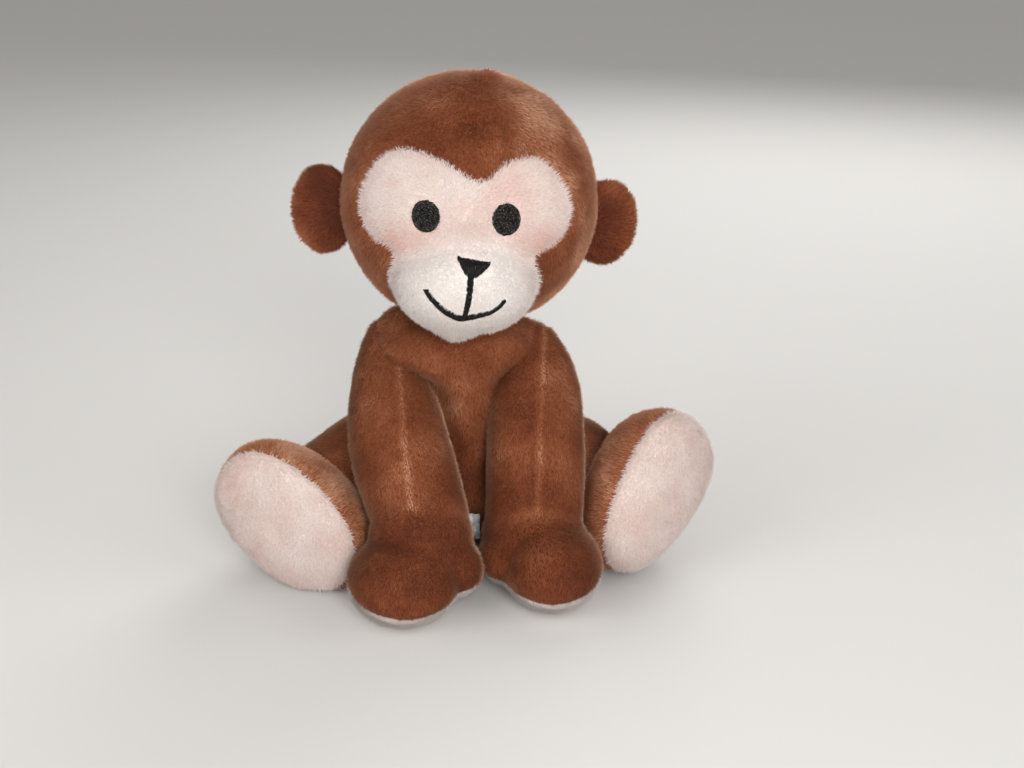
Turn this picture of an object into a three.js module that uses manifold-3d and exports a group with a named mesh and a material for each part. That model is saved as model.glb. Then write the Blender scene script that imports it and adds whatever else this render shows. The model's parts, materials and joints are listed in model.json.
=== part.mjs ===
import * as THREE from "three";
import { mergeVertices } from "three/addons/utils/BufferGeometryUtils.js";
import Module from "manifold-3d";

const wasm = await Module();
wasm.setup();

// A small stuffed monkey that sits and leans on its hands. Millimetres, +Z up, facing -Y.
// The origin is on the floor, under the middle of the seat. Left and right are the toy's own.

// Cloth and sewing
const clothThickness = 1.4;
const seamGap = 0.35;
const floorPress = 0.5; // how far the floor flattens what rests on it
const threadDiameter = 1.2;
const embroideryThickness = 0.9;
const fillingSlack = 3; // room left round the filling at a limb's seam

// Body
const bodyHeight = 84;
const seatWidth = 66;
const hipWidth = 74;
const waistWidth = 64;
const chestWidth = 50;
const collarWidth = 36;
const bodyFlatness = 0.86; // depth for each unit of width
const seatBack = 3; // middle of the seat behind the origin
const leanForward = 27; // collar ahead of the seat
const sideSeamBack = 10; // side seams behind the origin, at the floor

// Neck
const neckWidth = 32;
const neckHeight = 76;

// Head
const headWidth = 84;
const headDepth = 78;
const headHeight = 84;
const headRise = 47; // middle of the head above the middle of the neck

// Muzzle
const muzzleWidth = 48;
const muzzleDepth = 48;
const muzzleHeight = 37;
const muzzleForward = 25; // ahead of the middle of the head
const muzzleDrop = 21.5; // below the middle of the head

// Eyes, nose and mouth, placed from the middle of the head as seen from the front
const eyeWidth = 9.2;
const eyeHeight = 10.4;
const eyeSpacing = 24.4;
const eyeRise = 3.2;
const noseWidth = 10;
const noseHeight = 5;
const noseDrop = 8.3;
const noseOffset = 2;
const mouthWidth = 25;
const mouthDrop = 26.5; // lowest point of the smile
const mouthSag = 7;
const mouthOffset = -0.8;
const mouthTilt = 8;
const mouthThread = 1.6;

// Ears
const earDiameter = 29;
const earThickness = 7;
const earSwing = 20;

// Arms
const shoulderSpread = 26.5;
const shoulderHeight = 77;
const shoulderBack = 4; // behind the middle of the body
const armRoot = 11; // length above the shoulder
const armLength = 66; // shoulder to wrist
const armTopWidth = 21;
const armUpperWidth = 27;
const armMiddleWidth = 30;
const armLowerWidth = 31;
const wristWidth = 29; // also of the round end that the hand turns on
const armFlatness = 0.86;
const armLift = 45;
const wristLift = 20;

// Hands
const handWidth = 33;
const handLength = 42;
const handHeight = 27;
const handForward = 12; // middle of the hand ahead of the wrist
const thumbLength = 20;
const thumbWidth = 16;
const thumbHeight = 19;
const thumbForward = 2; // ahead of the middle of the hand
const thumbGap = 0.8; // between the two thumb tips
const handsMeet = 3.2; // where the thumbs meet, to the left of the middle
const palmEdge = 4.5; // the palm's seam above the floor

// Legs
const hipSpread = 22;
const legRoot = 12; // length inside the hip
const thighWidth = 41;
const legWidth = 37;
const ankleWidth = 32; // also of the round end that the foot turns on
const legSwing = 25;
const ankleTurn = 10;

// Feet
const footLength = 58;
const footWidth = 48;
const footDepth = 29;
const heelWidth = 38;
const footForward = 30; // sole ahead of the ankle
const soleRim = 7.5; // depth of the pale sole at its edge

// Label
const labelWidth = 10;
const labelHeight = 13;
const labelThickness = 0.6;
const labelOffset = 1.5;
const labelFloorGap = 1;

// How finely the round forms are cut into facets
const headFacets = { sides: 24, rings: 12 };
const bodyFacets = { sides: 18, rings: 10 };
const limbFacets = { sides: 14, rings: 6 };
const handFacets = { sides: 12, rings: 7 };
const innerFacets = { sides: 8, rings: 6 };
const faceSegments = 2;
const threadSegments = 5;

// The pose differs from side to side. Angles are in degrees.
const sides = [
  {
    name: "left",
    sign: 1,
    armPitch: 57,
    armInward: 2.5,
    handOut: 3.4,
    legYaw: 45,
    legReach: 37,
    soleYaw: 45,
    soleLean: 25,
    earOut: 40.5,
    earRise: -10,
    earYaw: 15,
  },
  {
    name: "right",
    sign: -1,
    armPitch: 48.5,
    armInward: 4,
    handOut: 0,
    legYaw: 48,
    legReach: 42,
    soleYaw: 18,
    soleLean: 40,
    earOut: 43.7,
    earRise: -2,
    earYaw: 15,
  },
];

const brown = "#74412b";
const pale = "#e6d3c9";
const black = "#2a2624";
const white = "#eeece6";

const point = (x, y, z) => new THREE.Vector3(x, y, z);
const xAxis = point(1, 0, 0);
const zAxis = point(0, 0, 1);
const liftAxis = point(-1, 0, 0);
const radians = THREE.MathUtils.degToRad;

// Closed solids and their surfaces

function solidOf(geometry) {
  const bare = geometry.clone();
  bare.deleteAttribute("normal");
  bare.deleteAttribute("uv");
  const merged = mergeVertices(bare, 1e-4);
  const corners = [];
  for (let i = 0; i < merged.index.count; i += 3) {
    const [a, b, c] = [0, 1, 2].map((k) => merged.index.getX(i + k));
    if (a !== b && b !== c && c !== a) corners.push(a, b, c);
  }
  const vertProperties = new Float32Array(merged.attributes.position.array);
  const triVerts = new Uint32Array(corners);
  return new wasm.Manifold(new wasm.Mesh({ numProp: 3, vertProperties, triVerts }));
}

function geometryOf(solid) {
  const { vertProperties, triVerts } = solid.getMesh();
  const geometry = new THREE.BufferGeometry();
  geometry.setAttribute("position", new THREE.BufferAttribute(vertProperties, 3));
  geometry.setIndex(new THREE.BufferAttribute(triVerts, 1));
  return geometry;
}

function turned(solid, pivot, axis, degrees) {
  const turn = new THREE.Matrix4().makeTranslation(pivot);
  turn.multiply(new THREE.Matrix4().makeRotationAxis(axis, radians(degrees)));
  turn.multiply(new THREE.Matrix4().makeTranslation(pivot.clone().negate()));
  return solidOf(geometryOf(solid).applyMatrix4(turn));
}

function ellipsoid(middle, width, depth, height, facets) {
  const shape = new THREE.SphereGeometry(1, facets.sides, facets.rings).rotateX(Math.PI / 2);
  shape.scale(width / 2, depth / 2, height / 2);
  return solidOf(shape.translate(middle.x, middle.y, middle.z));
}

const ball = (middle, width, facets) => ellipsoid(middle, width, width, width, facets);

// A profile turned round the line from one point towards another, and flattened
function turnedForm(profile, { from, to, flatness, across }, facets) {
  const along = to.clone().sub(from).normalize();
  const side = across.clone().addScaledVector(along, -across.dot(along)).normalize();
  const place = new THREE.Matrix4().makeBasis(side, along, side.clone().cross(along));
  place.setPosition(from);
  const shape = new THREE.LatheGeometry(profile, facets.sides).scale(1, 1, flatness);
  return solidOf(shape.applyMatrix4(place));
}

function radiusAlong(widths, share) {
  const swelling = new THREE.SplineCurve(widths.map((width, i) => new THREE.Vector2(i, width / 2)));
  return swelling.getPoint(share).y;
}

// A stuffed form along a line: its widths swell and taper, and both ends are blunt and round.
function swell(form, grow, facets) {
  const length = form.from.distanceTo(form.to);
  const profile = [];
  for (let i = 0; i <= facets.rings; i++) {
    const angle = (Math.PI * i) / facets.rings;
    const share = (1 - Math.cos(angle)) / 2;
    const roundness = i % facets.rings === 0 ? 0 : Math.sin(angle) ** form.blunt;
    const radius = (radiusAlong(form.widths, share) + grow) * roundness;
    profile.push(new THREE.Vector2(radius, share * (length + 2 * grow) - grow));
  }
  return turnedForm(profile, form, facets);
}

// A limb: its root is blunt, and its far end is a round ball about the point that it runs to.
function limb(form, grow, facets) {
  const length = form.from.distanceTo(form.to);
  const profile = [];
  for (let i = 0; i < facets.rings; i++) {
    const angle = (Math.PI * i) / facets.rings / 2;
    const share = 1 - Math.cos(angle);
    const radius = (radiusAlong(form.widths, share) + grow) * Math.sin(angle) ** form.blunt;
    profile.push(new THREE.Vector2(radius, share * (length + grow) - grow));
  }
  const capRings = facets.rings / 2;
  const capRadius = radiusAlong(form.widths, 1) + grow;
  for (let i = 0; i <= capRings; i++) {
    const angle = (Math.PI * i) / capRings / 2;
    const radius = i === capRings ? 0 : capRadius * Math.cos(angle);
    profile.push(new THREE.Vector2(radius, length + capRadius * form.flatness * Math.sin(angle)));
  }
  return turnedForm(profile, form, facets);
}

// Everything on the side of a plane that its normal points to
function halfSpace(at, normal) {
  const reach = 10 * bodyHeight;
  const block = new THREE.BoxGeometry(reach, reach, reach).translate(0, 0, reach / 2);
  block.applyQuaternion(new THREE.Quaternion().setFromUnitVectors(zAxis, normal));
  return solidOf(block.translate(at.x, at.y, at.z));
}

const aboveFloor = (solid) => solid.intersect(halfSpace(point(0, 0, 0), zAxis));

// Two panels that meet at a flat seam: the one that the normal points to, then the other
function sewn(solid, at, normal) {
  const step = normal.clone().multiplyScalar(seamGap / 2);
  const ahead = halfSpace(at.clone().add(step), normal);
  const behind = halfSpace(at.clone().sub(step), normal.clone().negate());
  return [solid.intersect(ahead), solid.intersect(behind)];
}

// The room that a form leaves round its neighbours: a seam's gap, and more inside the cloth
function roomFor(neighbour, grow) {
  return grow < 0 ? neighbour(seamGap - grow + fillingSlack, innerFacets) : neighbour(seamGap);
}

// A round hollow whose facets stay clear of the neighbour's round end that turns in it
function socketFor(pivot, width, grow) {
  const facets = facetsFor(limbFacets, grow);
  const sag = Math.cos(Math.PI / facets.sides) * Math.cos(Math.PI / facets.rings / 2);
  return ball(pivot, (width + 2 * (seamGap - grow)) / sag, facets);
}

// A form without what its neighbour takes up while the form swings about its seam
function clearOf(form, neighbour, { pivot, axis, angles }) {
  return angles.reduce((rest, angle) => rest.subtract(turned(neighbour, pivot, axis, -angle)), form);
}

// A stuffed form's cloth cover and the filling inside it
function stuffed(form) {
  const cover = aboveFloor(form(0)).subtract(form(-clothThickness));
  const filling = form(-clothThickness - seamGap);
  return { cover, filling };
}

const facetsFor = (facets, grow) => (grow < 0 ? innerFacets : facets);

// Body: a pear that leans forward, with a round neck
function bodyAxisAt(height) {
  const share = (height + floorPress) / (bodyHeight + floorPress);
  return point(0, seatBack - leanForward * share, height);
}

const neckPivot = bodyAxisAt(neckHeight);

function bodyForm(grow, facets = facetsFor(bodyFacets, grow)) {
  const pear = {
    from: bodyAxisAt(-floorPress),
    to: bodyAxisAt(bodyHeight),
    widths: [seatWidth, hipWidth, waistWidth, chestWidth, collarWidth],
    flatness: bodyFlatness,
    blunt: 0.5,
    across: xAxis,
  };
  return swell(pear, grow, facets).add(ball(neckPivot, neckWidth + 2 * grow, facetsFor(limbFacets, grow)));
}

// Head: a round crown and a muzzle, seated on the neck
const headMiddle = neckPivot.clone().add(point(0, 0, headRise));
const muzzleMiddle = headMiddle.clone().add(point(0, -muzzleForward, -muzzleDrop));

function headShape(grow) {
  const add = 2 * grow;
  const [crownFacets, muzzleFacets] = [facetsFor(headFacets, grow), facetsFor(bodyFacets, grow)];
  const crown = ellipsoid(headMiddle, headWidth + add, headDepth + add, headHeight + add, crownFacets);
  const size = [muzzleWidth + add, muzzleDepth + add, muzzleHeight + add];
  return crown.add(ellipsoid(muzzleMiddle, ...size, muzzleFacets));
}

function headForm(grow) {
  return headShape(grow).subtract(socketFor(neckPivot, neckWidth, grow));
}

// A flat outline seen from the front, as a prism that passes through the front of the head
function frontPrism(outline, curveSegments, back, grow) {
  const prism = new THREE.ExtrudeGeometry(outline, {
    depth: headDepth + muzzleDepth,
    curveSegments,
    bevelEnabled: grow > 0,
    bevelSize: grow,
    bevelThickness: grow,
    bevelSegments: 1,
  });
  prism.rotateX(Math.PI / 2);
  return solidOf(prism.translate(headMiddle.x, headMiddle.y - back, headMiddle.z));
}

// The pale face: two lobes that meet at the widow's peak, and a muzzle below, drawn in between them.
// Its points are from the middle of the head.
const facePeak = [4.3, 14.4];
const faceRightLobe = [
  [-7.9, 20.8],
  [-20.4, 23],
  [-29.5, 16.4],
  [-34.3, 3.8],
  [-31.1, -4.9],
  [-24, -9.5],
];
const faceRightCheek = [
  [-26, -20],
  [-22, -33],
  [-12, -40.5],
  [-3.5, -43],
];
const faceLeftCheek = [
  [12, -40.5],
  [21.5, -33],
  [25, -20],
  [22.7, -10.6],
];
const faceLeftLobe = [[29, -6.4], [33.1, 1.4], [29.5, 12.7], [21.7, 20.1], [12.8, 19.7], facePeak];
const faceBack = 14; // the face panel's back edge ahead of the middle of the head

function faceOutline() {
  const outline = new THREE.Shape();
  outline.moveTo(...facePeak);
  for (const run of [faceRightLobe, faceRightCheek, faceLeftCheek, faceLeftLobe]) {
    outline.splineThru(run.map(([x, z]) => new THREE.Vector2(x, z)));
  }
  return outline;
}

// Embroidery: a thin layer of thread on the face
function embroidery(...outlines) {
  const layer = headShape(seamGap + embroideryThickness).subtract(headShape(seamGap));
  const prisms = outlines.map((outline) => frontPrism(outline, threadSegments, faceBack, 0));
  return layer.intersect(prisms.reduce((all, prism) => all.add(prism)));
}

function eyeOutline(sign) {
  const outline = new THREE.Shape();
  outline.absellipse((sign * eyeSpacing) / 2, eyeRise, eyeWidth / 2, eyeHeight / 2, 0, 2 * Math.PI);
  return outline;
}

function noseOutline() {
  const bottom = -noseDrop - noseHeight;
  const [right, left] = [noseOffset - noseWidth / 2, noseOffset + noseWidth / 2];
  const outline = new THREE.Shape();
  outline.moveTo(noseOffset, bottom);
  outline.quadraticCurveTo(left, bottom + noseHeight / 2, left, -noseDrop);
  outline.lineTo(right, -noseDrop);
  outline.quadraticCurveTo(right, bottom + noseHeight / 2, noseOffset, bottom);
  return outline;
}

function smileOutline() {
  const radius = (mouthWidth ** 2 / 4 + mouthSag ** 2) / (2 * mouthSag);
  const middle = -mouthDrop + radius;
  const half = Math.asin(mouthWidth / 2 / radius);
  const lowest = -Math.PI / 2 - radians(mouthTilt);
  const [start, end] = [lowest - half, lowest + half];
  const outline = new THREE.Shape();
  outline.absarc(mouthOffset, middle, radius + mouthThread / 2, start, end);
  outline.absarc(mouthOffset, middle, radius - mouthThread / 2, end, start, true);
  return outline;
}

function lipLineOutline() {
  const [top, bottom] = [-noseDrop - noseHeight - seamGap, -mouthDrop];
  const half = mouthThread / 2;
  const outline = new THREE.Shape();
  outline.moveTo(noseOffset - half, top);
  outline.lineTo(mouthOffset - half, bottom);
  outline.lineTo(mouthOffset + half, bottom);
  outline.lineTo(noseOffset + half, top);
  return outline;
}

// Neck stitching: a ring of thread in the groove between the head and the neck
function neckRing() {
  const clearance = seamGap + threadDiameter / 2;
  const [neckReach, headReach] = [neckWidth / 2 + clearance, headWidth / 2 + clearance];
  const height = (headRise ** 2 + neckReach ** 2 - headReach ** 2) / (2 * headRise);
  const ring = new THREE.TorusGeometry(Math.sqrt(neckReach ** 2 - height ** 2), threadDiameter / 2, 5, 20);
  return solidOf(ring.translate(neckPivot.x, neckPivot.y, neckPivot.z + height));
}

// Ears: round discs of two layers, set into the sides of the head
function earPlaces(side) {
  const middle = headMiddle.clone().add(point(side.sign * side.earOut, 0, side.earRise));
  const level = Math.sqrt(1 - (2 * side.earRise / headHeight) ** 2);
  const root = point((side.sign * headWidth * level) / 2, middle.y, middle.z);
  const facing = point(side.sign * Math.sin(radians(side.earYaw)), -Math.cos(radians(side.earYaw)), 0);
  return { middle, root, facing };
}

function earForm(side) {
  const { middle, root } = earPlaces(side);
  const disc = ellipsoid(middle, earDiameter, earThickness, earDiameter, limbFacets);
  const ear = turned(disc, root, zAxis, side.sign * side.earYaw);
  return clearOf(ear, headShape(seamGap), { pivot: root, axis: zAxis, angles: [-earSwing, 0, earSwing] });
}

// Arms: from the shoulder forward and down to the wrist
function armPlaces(side) {
  const shoulder = bodyAxisAt(shoulderHeight).add(point(side.sign * shoulderSpread, shoulderBack, 0));
  const [pitch, inward] = [radians(side.armPitch), radians(side.armInward)];
  const level = Math.cos(inward);
  const along = point(-side.sign * Math.sin(inward), -level * Math.cos(pitch), -level * Math.sin(pitch));
  const wrist = shoulder.clone().addScaledVector(along, armLength);
  return { shoulder, along, wrist };
}

function armShape(side, grow, facets = facetsFor(limbFacets, grow)) {
  const { shoulder, along, wrist } = armPlaces(side);
  const arm = {
    from: shoulder.clone().addScaledVector(along, -armRoot),
    to: wrist,
    widths: [armTopWidth, armUpperWidth, armMiddleWidth, armLowerWidth, wristWidth],
    flatness: armFlatness,
    blunt: 0.45,
    across: xAxis,
  };
  return limb(arm, grow, facets);
}

function armForm(side, grow) {
  const { shoulder } = armPlaces(side);
  const angles = grow < 0 ? [0, armLift] : [0, armLift / 2, armLift];
  return clearOf(armShape(side, grow), roomFor(bodyForm, grow), { pivot: shoulder, axis: liftAxis, angles });
}

// Hands: a mitten and a thumb, flat on the floor
function handShape(side, grow) {
  const { wrist } = armPlaces(side);
  const facets = facetsFor(handFacets, grow);
  const add = 2 * grow;
  const middle = point(wrist.x + side.sign * side.handOut, wrist.y - handForward, handHeight / 2 - floorPress);
  const thumbX = handsMeet + (side.sign * (thumbGap + thumbLength)) / 2;
  const thumbMiddle = point(thumbX, middle.y - thumbForward, thumbHeight / 2 - floorPress);
  const mitten = ellipsoid(middle, handWidth + add, handLength + add, handHeight + add, facets);
  const thumb = ellipsoid(thumbMiddle, thumbLength + add, thumbWidth + add, thumbHeight + add, facets);
  return mitten.add(thumb);
}

function handForm(side, grow) {
  const { wrist } = armPlaces(side);
  const room = roomFor((more, facets) => armShape(side, more, facets), grow);
  const angles = grow < 0 ? [wristLift / 2] : [0, wristLift / 2, wristLift];
  return clearOf(handShape(side, grow), room, { pivot: wrist, axis: liftAxis, angles });
}

// Legs: short and thick, from the hip outward along the floor
function legPlaces(side) {
  const height = thighWidth / 2 - floorPress;
  const hip = bodyAxisAt(height).add(point(side.sign * hipSpread, 0, 0));
  const yaw = radians(side.legYaw);
  const along = point(side.sign * Math.sin(yaw), -Math.cos(yaw), 0);
  const ankle = hip.clone().addScaledVector(along, side.legReach);
  ankle.z = ankleWidth / 2 - floorPress;
  const swingAxis = point(0, 0, side.sign);
  return { hip, along, ankle, swingAxis };
}

function legShape(side, grow, facets = facetsFor(limbFacets, grow)) {
  const { hip, along, ankle } = legPlaces(side);
  const leg = {
    from: hip.clone().addScaledVector(along, -legRoot),
    to: ankle,
    widths: [thighWidth, legWidth, ankleWidth],
    flatness: 1,
    blunt: 0.4,
    across: zAxis,
  };
  return limb(leg, grow, facets);
}

function legForm(side, grow) {
  const { hip, swingAxis } = legPlaces(side);
  const angles = [0, legSwing];
  return clearOf(legShape(side, grow), roomFor(bodyForm, grow), { pivot: hip, axis: swingAxis, angles });
}

// Feet: thick ovals that stand on edge, with a domed sole
function footPlaces(side) {
  const { ankle } = legPlaces(side);
  const [yaw, lean] = [radians(side.soleYaw), radians(side.soleLean)];
  const facing = point(side.sign * Math.sin(yaw), -Math.cos(yaw), 0);
  const outward = point(side.sign * Math.cos(yaw), Math.sin(yaw), 0);
  const across = outward.clone().multiplyScalar(Math.cos(lean)).addScaledVector(zAxis, -Math.sin(lean));
  const sole = ankle.clone().addScaledVector(facing, footForward);
  sole.z = Math.hypot(footLength * Math.cos(lean), footWidth * Math.sin(lean)) / 2 - floorPress;
  return { facing, across, sole };
}

function footForm(side, grow) {
  const { facing, across, sole } = footPlaces(side);
  const { ankle, swingAxis } = legPlaces(side);
  const foot = {
    from: sole.clone().addScaledVector(facing, -footDepth),
    to: sole,
    widths: [heelWidth, footWidth, footWidth, footWidth],
    flatness: footLength / footWidth,
    blunt: 0.4,
    across,
  };
  const whole = swell(foot, grow, facetsFor(limbFacets, grow));
  const { wrist } = armPlaces(side);
  const handEdge = wrist.x + side.sign * (side.handOut + handWidth / 2 + seamGap - grow);
  const besideHand = halfSpace(point(handEdge, 0, 0), point(side.sign, 0, 0));
  const room = roomFor((more, facets) => legShape(side, more, facets), grow);
  const angles = grow < 0 ? [ankleTurn / 2] : [0, ankleTurn];
  return clearOf(whole.intersect(besideHand), room, { pivot: ankle, axis: swingAxis, angles });
}

// Label: a blank tag sewn to the bottom of the belly
function labelForm() {
  const layer = bodyForm(seamGap + labelThickness).subtract(bodyForm(seamGap));
  const reach = bodyHeight;
  const tag = new THREE.BoxGeometry(labelWidth, reach, labelHeight);
  tag.translate(labelOffset, -reach / 2, labelFloorGap + labelHeight / 2);
  return layer.intersect(solidOf(tag));
}

// The toy hangs together from groups that stand at its seams, so that each limb can turn there.

const toy = new THREE.Group();

function seamGroup(parent, pivot) {
  const group = new THREE.Group();
  parent.updateWorldMatrix(true, false);
  group.position.copy(parent.worldToLocal(pivot.clone()));
  parent.add(group);
  group.updateWorldMatrix(true, false);
  return group;
}

function piece(group, name, solid, colour, roughness) {
  const geometry = geometryOf(solid).applyMatrix4(group.matrixWorld.clone().invert());
  const material = new THREE.MeshStandardMaterial({ color: colour, roughness, metalness: 0 });
  const mesh = new THREE.Mesh(geometry, material);
  mesh.name = name;
  group.add(mesh);
}

const plush = 0.95;
const thread = 0.6;

function addBody() {
  const { cover, filling } = stuffed(bodyForm);
  const forward = point(0, -bodyHeight, -leanForward).normalize();
  const [front, back] = sewn(cover, point(0, sideSeamBack, 0), forward);
  piece(toy, "body_front_panel", front, brown, plush);
  piece(toy, "body_back_panel", back, brown, plush);
  piece(toy, "body_filling", filling, white, plush);
  piece(toy, "care_label", labelForm(), white, plush);
}

function addHead() {
  const neck = seamGroup(toy, neckPivot);
  piece(neck, "neck_stitching", neckRing(), brown, thread);
  const head = seamGroup(neck, neckPivot);
  const { cover, filling } = stuffed(headForm);
  const fur = cover.subtract(frontPrism(faceOutline(), faceSegments, faceBack - seamGap, seamGap));
  const [left, right] = sewn(fur, headMiddle, xAxis);
  piece(head, "head_left_panel", left, brown, plush);
  piece(head, "head_right_panel", right, brown, plush);
  piece(head, "face_panel", cover.intersect(frontPrism(faceOutline(), faceSegments, faceBack, 0)), pale, plush);
  piece(head, "head_filling", filling, white, plush);
  piece(head, "nose", embroidery(noseOutline()), black, thread);
  piece(head, "mouth", embroidery(smileOutline(), lipLineOutline()), black, thread);
  return head;
}

function addEye(head, side) {
  piece(head, `${side.name}_eye`, embroidery(eyeOutline(side.sign)), black, thread);
}

function addEar(head, side) {
  const { root, facing } = earPlaces(side);
  const ear = seamGroup(head, root);
  const [front, back] = sewn(earForm(side), root, facing);
  piece(ear, `${side.name}_ear_front`, front, brown, plush);
  piece(ear, `${side.name}_ear_back`, back, brown, plush);
}

function addArm(side) {
  const { shoulder, wrist } = armPlaces(side);
  const arm = seamGroup(toy, shoulder);
  const sleeve = stuffed((grow) => armForm(side, grow));
  const [outer, inner] = sewn(sleeve.cover, wrist, point(side.sign, 0, 0));
  piece(arm, `${side.name}_arm_outer_panel`, outer, brown, plush);
  piece(arm, `${side.name}_arm_inner_panel`, inner, brown, plush);
  piece(arm, `${side.name}_arm_filling`, sleeve.filling, white, plush);
  const hand = seamGroup(arm, wrist);
  const mitten = stuffed((grow) => handForm(side, grow));
  const [back, palm] = sewn(mitten.cover, point(0, 0, palmEdge), zAxis);
  piece(hand, `${side.name}_hand_back`, back, brown, plush);
  piece(hand, `${side.name}_palm`, palm, pale, plush);
  piece(hand, `${side.name}_hand_filling`, mitten.filling, white, plush);
}

function addLeg(side) {
  const { hip, along, ankle } = legPlaces(side);
  const { facing, sole } = footPlaces(side);
  const leg = seamGroup(toy, hip);
  const thigh = stuffed((grow) => legForm(side, grow));
  const outward = along.clone().cross(zAxis).multiplyScalar(-side.sign);
  const [outer, inner] = sewn(thigh.cover, hip, outward);
  piece(leg, `${side.name}_leg_outer_panel`, outer, brown, plush);
  piece(leg, `${side.name}_leg_inner_panel`, inner, brown, plush);
  piece(leg, `${side.name}_leg_filling`, thigh.filling, white, plush);
  const foot = seamGroup(leg, ankle);
  const shoe = stuffed((grow) => footForm(side, grow));
  const [front, upper] = sewn(shoe.cover, sole.clone().addScaledVector(facing, -soleRim), facing);
  piece(foot, `${side.name}_sole`, front, pale, plush);
  piece(foot, `${side.name}_foot_upper`, upper, brown, plush);
  piece(foot, `${side.name}_foot_filling`, shoe.filling, white, plush);
}

addBody();
const head = addHead();
for (const side of sides) {
  addEye(head, side);
  addEar(head, side);
  addArm(side);
  addLeg(side);
}

export default toy;
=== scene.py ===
import json
import math

import bmesh
import bpy
import numpy as np
from mathutils import Matrix, Vector
from mathutils.bvhtree import BVHTree
from mathutils.kdtree import KDTree


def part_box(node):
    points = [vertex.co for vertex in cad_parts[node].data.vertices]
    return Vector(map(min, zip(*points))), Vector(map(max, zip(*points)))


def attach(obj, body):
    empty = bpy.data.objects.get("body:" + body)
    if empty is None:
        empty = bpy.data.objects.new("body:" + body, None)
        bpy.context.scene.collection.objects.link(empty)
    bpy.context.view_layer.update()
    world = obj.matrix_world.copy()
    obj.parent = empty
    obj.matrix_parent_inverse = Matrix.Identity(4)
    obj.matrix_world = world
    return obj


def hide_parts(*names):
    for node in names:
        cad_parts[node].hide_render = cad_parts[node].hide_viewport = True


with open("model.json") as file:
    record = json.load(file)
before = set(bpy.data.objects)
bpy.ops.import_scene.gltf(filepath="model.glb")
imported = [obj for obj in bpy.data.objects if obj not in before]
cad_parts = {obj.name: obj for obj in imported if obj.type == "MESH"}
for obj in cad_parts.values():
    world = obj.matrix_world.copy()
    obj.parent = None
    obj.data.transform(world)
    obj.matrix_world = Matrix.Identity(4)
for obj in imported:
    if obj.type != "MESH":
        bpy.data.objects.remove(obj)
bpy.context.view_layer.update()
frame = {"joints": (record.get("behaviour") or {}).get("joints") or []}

scene = bpy.context.scene
scene.view_settings.view_transform = "Standard"
mm = 0.001
xAxis = Vector((1, 0, 0))
yAxis = Vector((0, 1, 0))
zAxis = Vector((0, 0, 1))
jointAt = {joint["name"]: Vector(joint["pos_m"]) for joint in frame["joints"]}


def at(x, y, z):
    return Vector((x, y, z)) * mm


def linear(hexColour):
    channels = [int(hexColour[i:i + 2], 16) / 255 for i in (1, 3, 5)]
    return [c / 12.92 if c <= 0.04045 else ((c + 0.055) / 1.055) ** 2.4 for c in channels] + [1.0]


# adds a node, sets its options, fills its sockets and lays out a ramp's stops
# a socket takes a value, another node's socket, or a node that stands for its first output
def addNode(tree, kind, sockets=None, stops=(), **options):
    node = tree.nodes.new(kind)
    for name, value in options.items():
        setattr(node, name, value)
    for name, value in (sockets or {}).items():
        if isinstance(value, bpy.types.Node):
            value = value.outputs[0]
        if isinstance(value, bpy.types.NodeSocket):
            tree.links.new(value, node.inputs[name])
        else:
            node.inputs[name].default_value = value
    for i, (place, colour) in enumerate(stops):
        band = node.color_ramp.elements
        stop = band[i] if i < len(band) else band.new(place)
        stop.position = place
        stop.color = linear(colour)
    return node


def addObject(name, data):
    piece = bpy.data.objects.new(name, data)
    scene.collection.objects.link(piece)
    return piece


def toObject(bm, name):
    mesh = bpy.data.meshes.new(name)
    bm.to_mesh(mesh)
    bm.free()
    return addObject(name, mesh)


def loadMesh(piece):
    bm = bmesh.new()
    bm.from_mesh(piece.data)
    return bm


def storeMesh(bm, piece):
    bm.to_mesh(piece.data)
    bm.free()
    piece.data.update()


def applyModifiers(piece):
    graph = bpy.context.evaluated_depsgraph_get()
    shaped = bpy.data.meshes.new_from_object(piece.evaluated_get(graph))
    old = piece.data
    piece.modifiers.clear()
    piece.data = shaped
    bpy.data.meshes.remove(old)
    shaped.name = piece.name


def readVectors(items, key):
    values = np.empty(len(items) * 3, np.float32)
    items.foreach_get(key, values)
    return values.reshape(-1, 3).astype(float)


# points and normals of a mesh
def shapeOf(mesh):
    return readVectors(mesh.vertices, "co"), readVectors(mesh.vertex_normals, "vector")


def moveVerts(mesh, co):
    mesh.vertices.foreach_set("co", co.astype(np.float32).ravel())
    mesh.update()


def treeOf(mesh):
    return BVHTree.FromPolygons([v.co for v in mesh.vertices], [list(p.vertices) for p in mesh.polygons])


# for each point its distance from a tree's surface, and how far it stands out of it
def reachTo(co, tree):
    found = [tree.find_nearest(Vector(spot)) for spot in co]
    above = [(Vector(spot) - place).dot(normal) for spot, (place, normal, _, _) in zip(co, found)]
    return np.array([near[3] for near in found]), np.array(above)


def unit(vectors):
    return vectors / np.maximum(np.linalg.norm(vectors, axis=-1, keepdims=True), 1e-9)


# fades from 1 to nothing over a width in mm
def softEdge(gap, width):
    return np.exp(-(gap / (width * mm)) ** 2)


# a smooth curve between the second and the third of four points
def curvePoint(p, t):
    a = (p[2] - p[0]) / 2
    b = (p[3] - p[1]) / 2
    cubic = 2 * p[1] - 2 * p[2] + a + b
    square = 3 * p[2] - 3 * p[1] - 2 * a - b
    return cubic * t ** 3 + square * t ** 2 + a * t + p[1]


# smooth curve through evenly spaced widths, share runs 0 to 1
def widthAlong(widths, share):
    last = len(widths) - 1
    spot = share * last
    i = min(int(spot), last - 1)
    return curvePoint([widths[max(0, min(last, i + k))] for k in (-1, 0, 1, 2)], spot - i)


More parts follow.
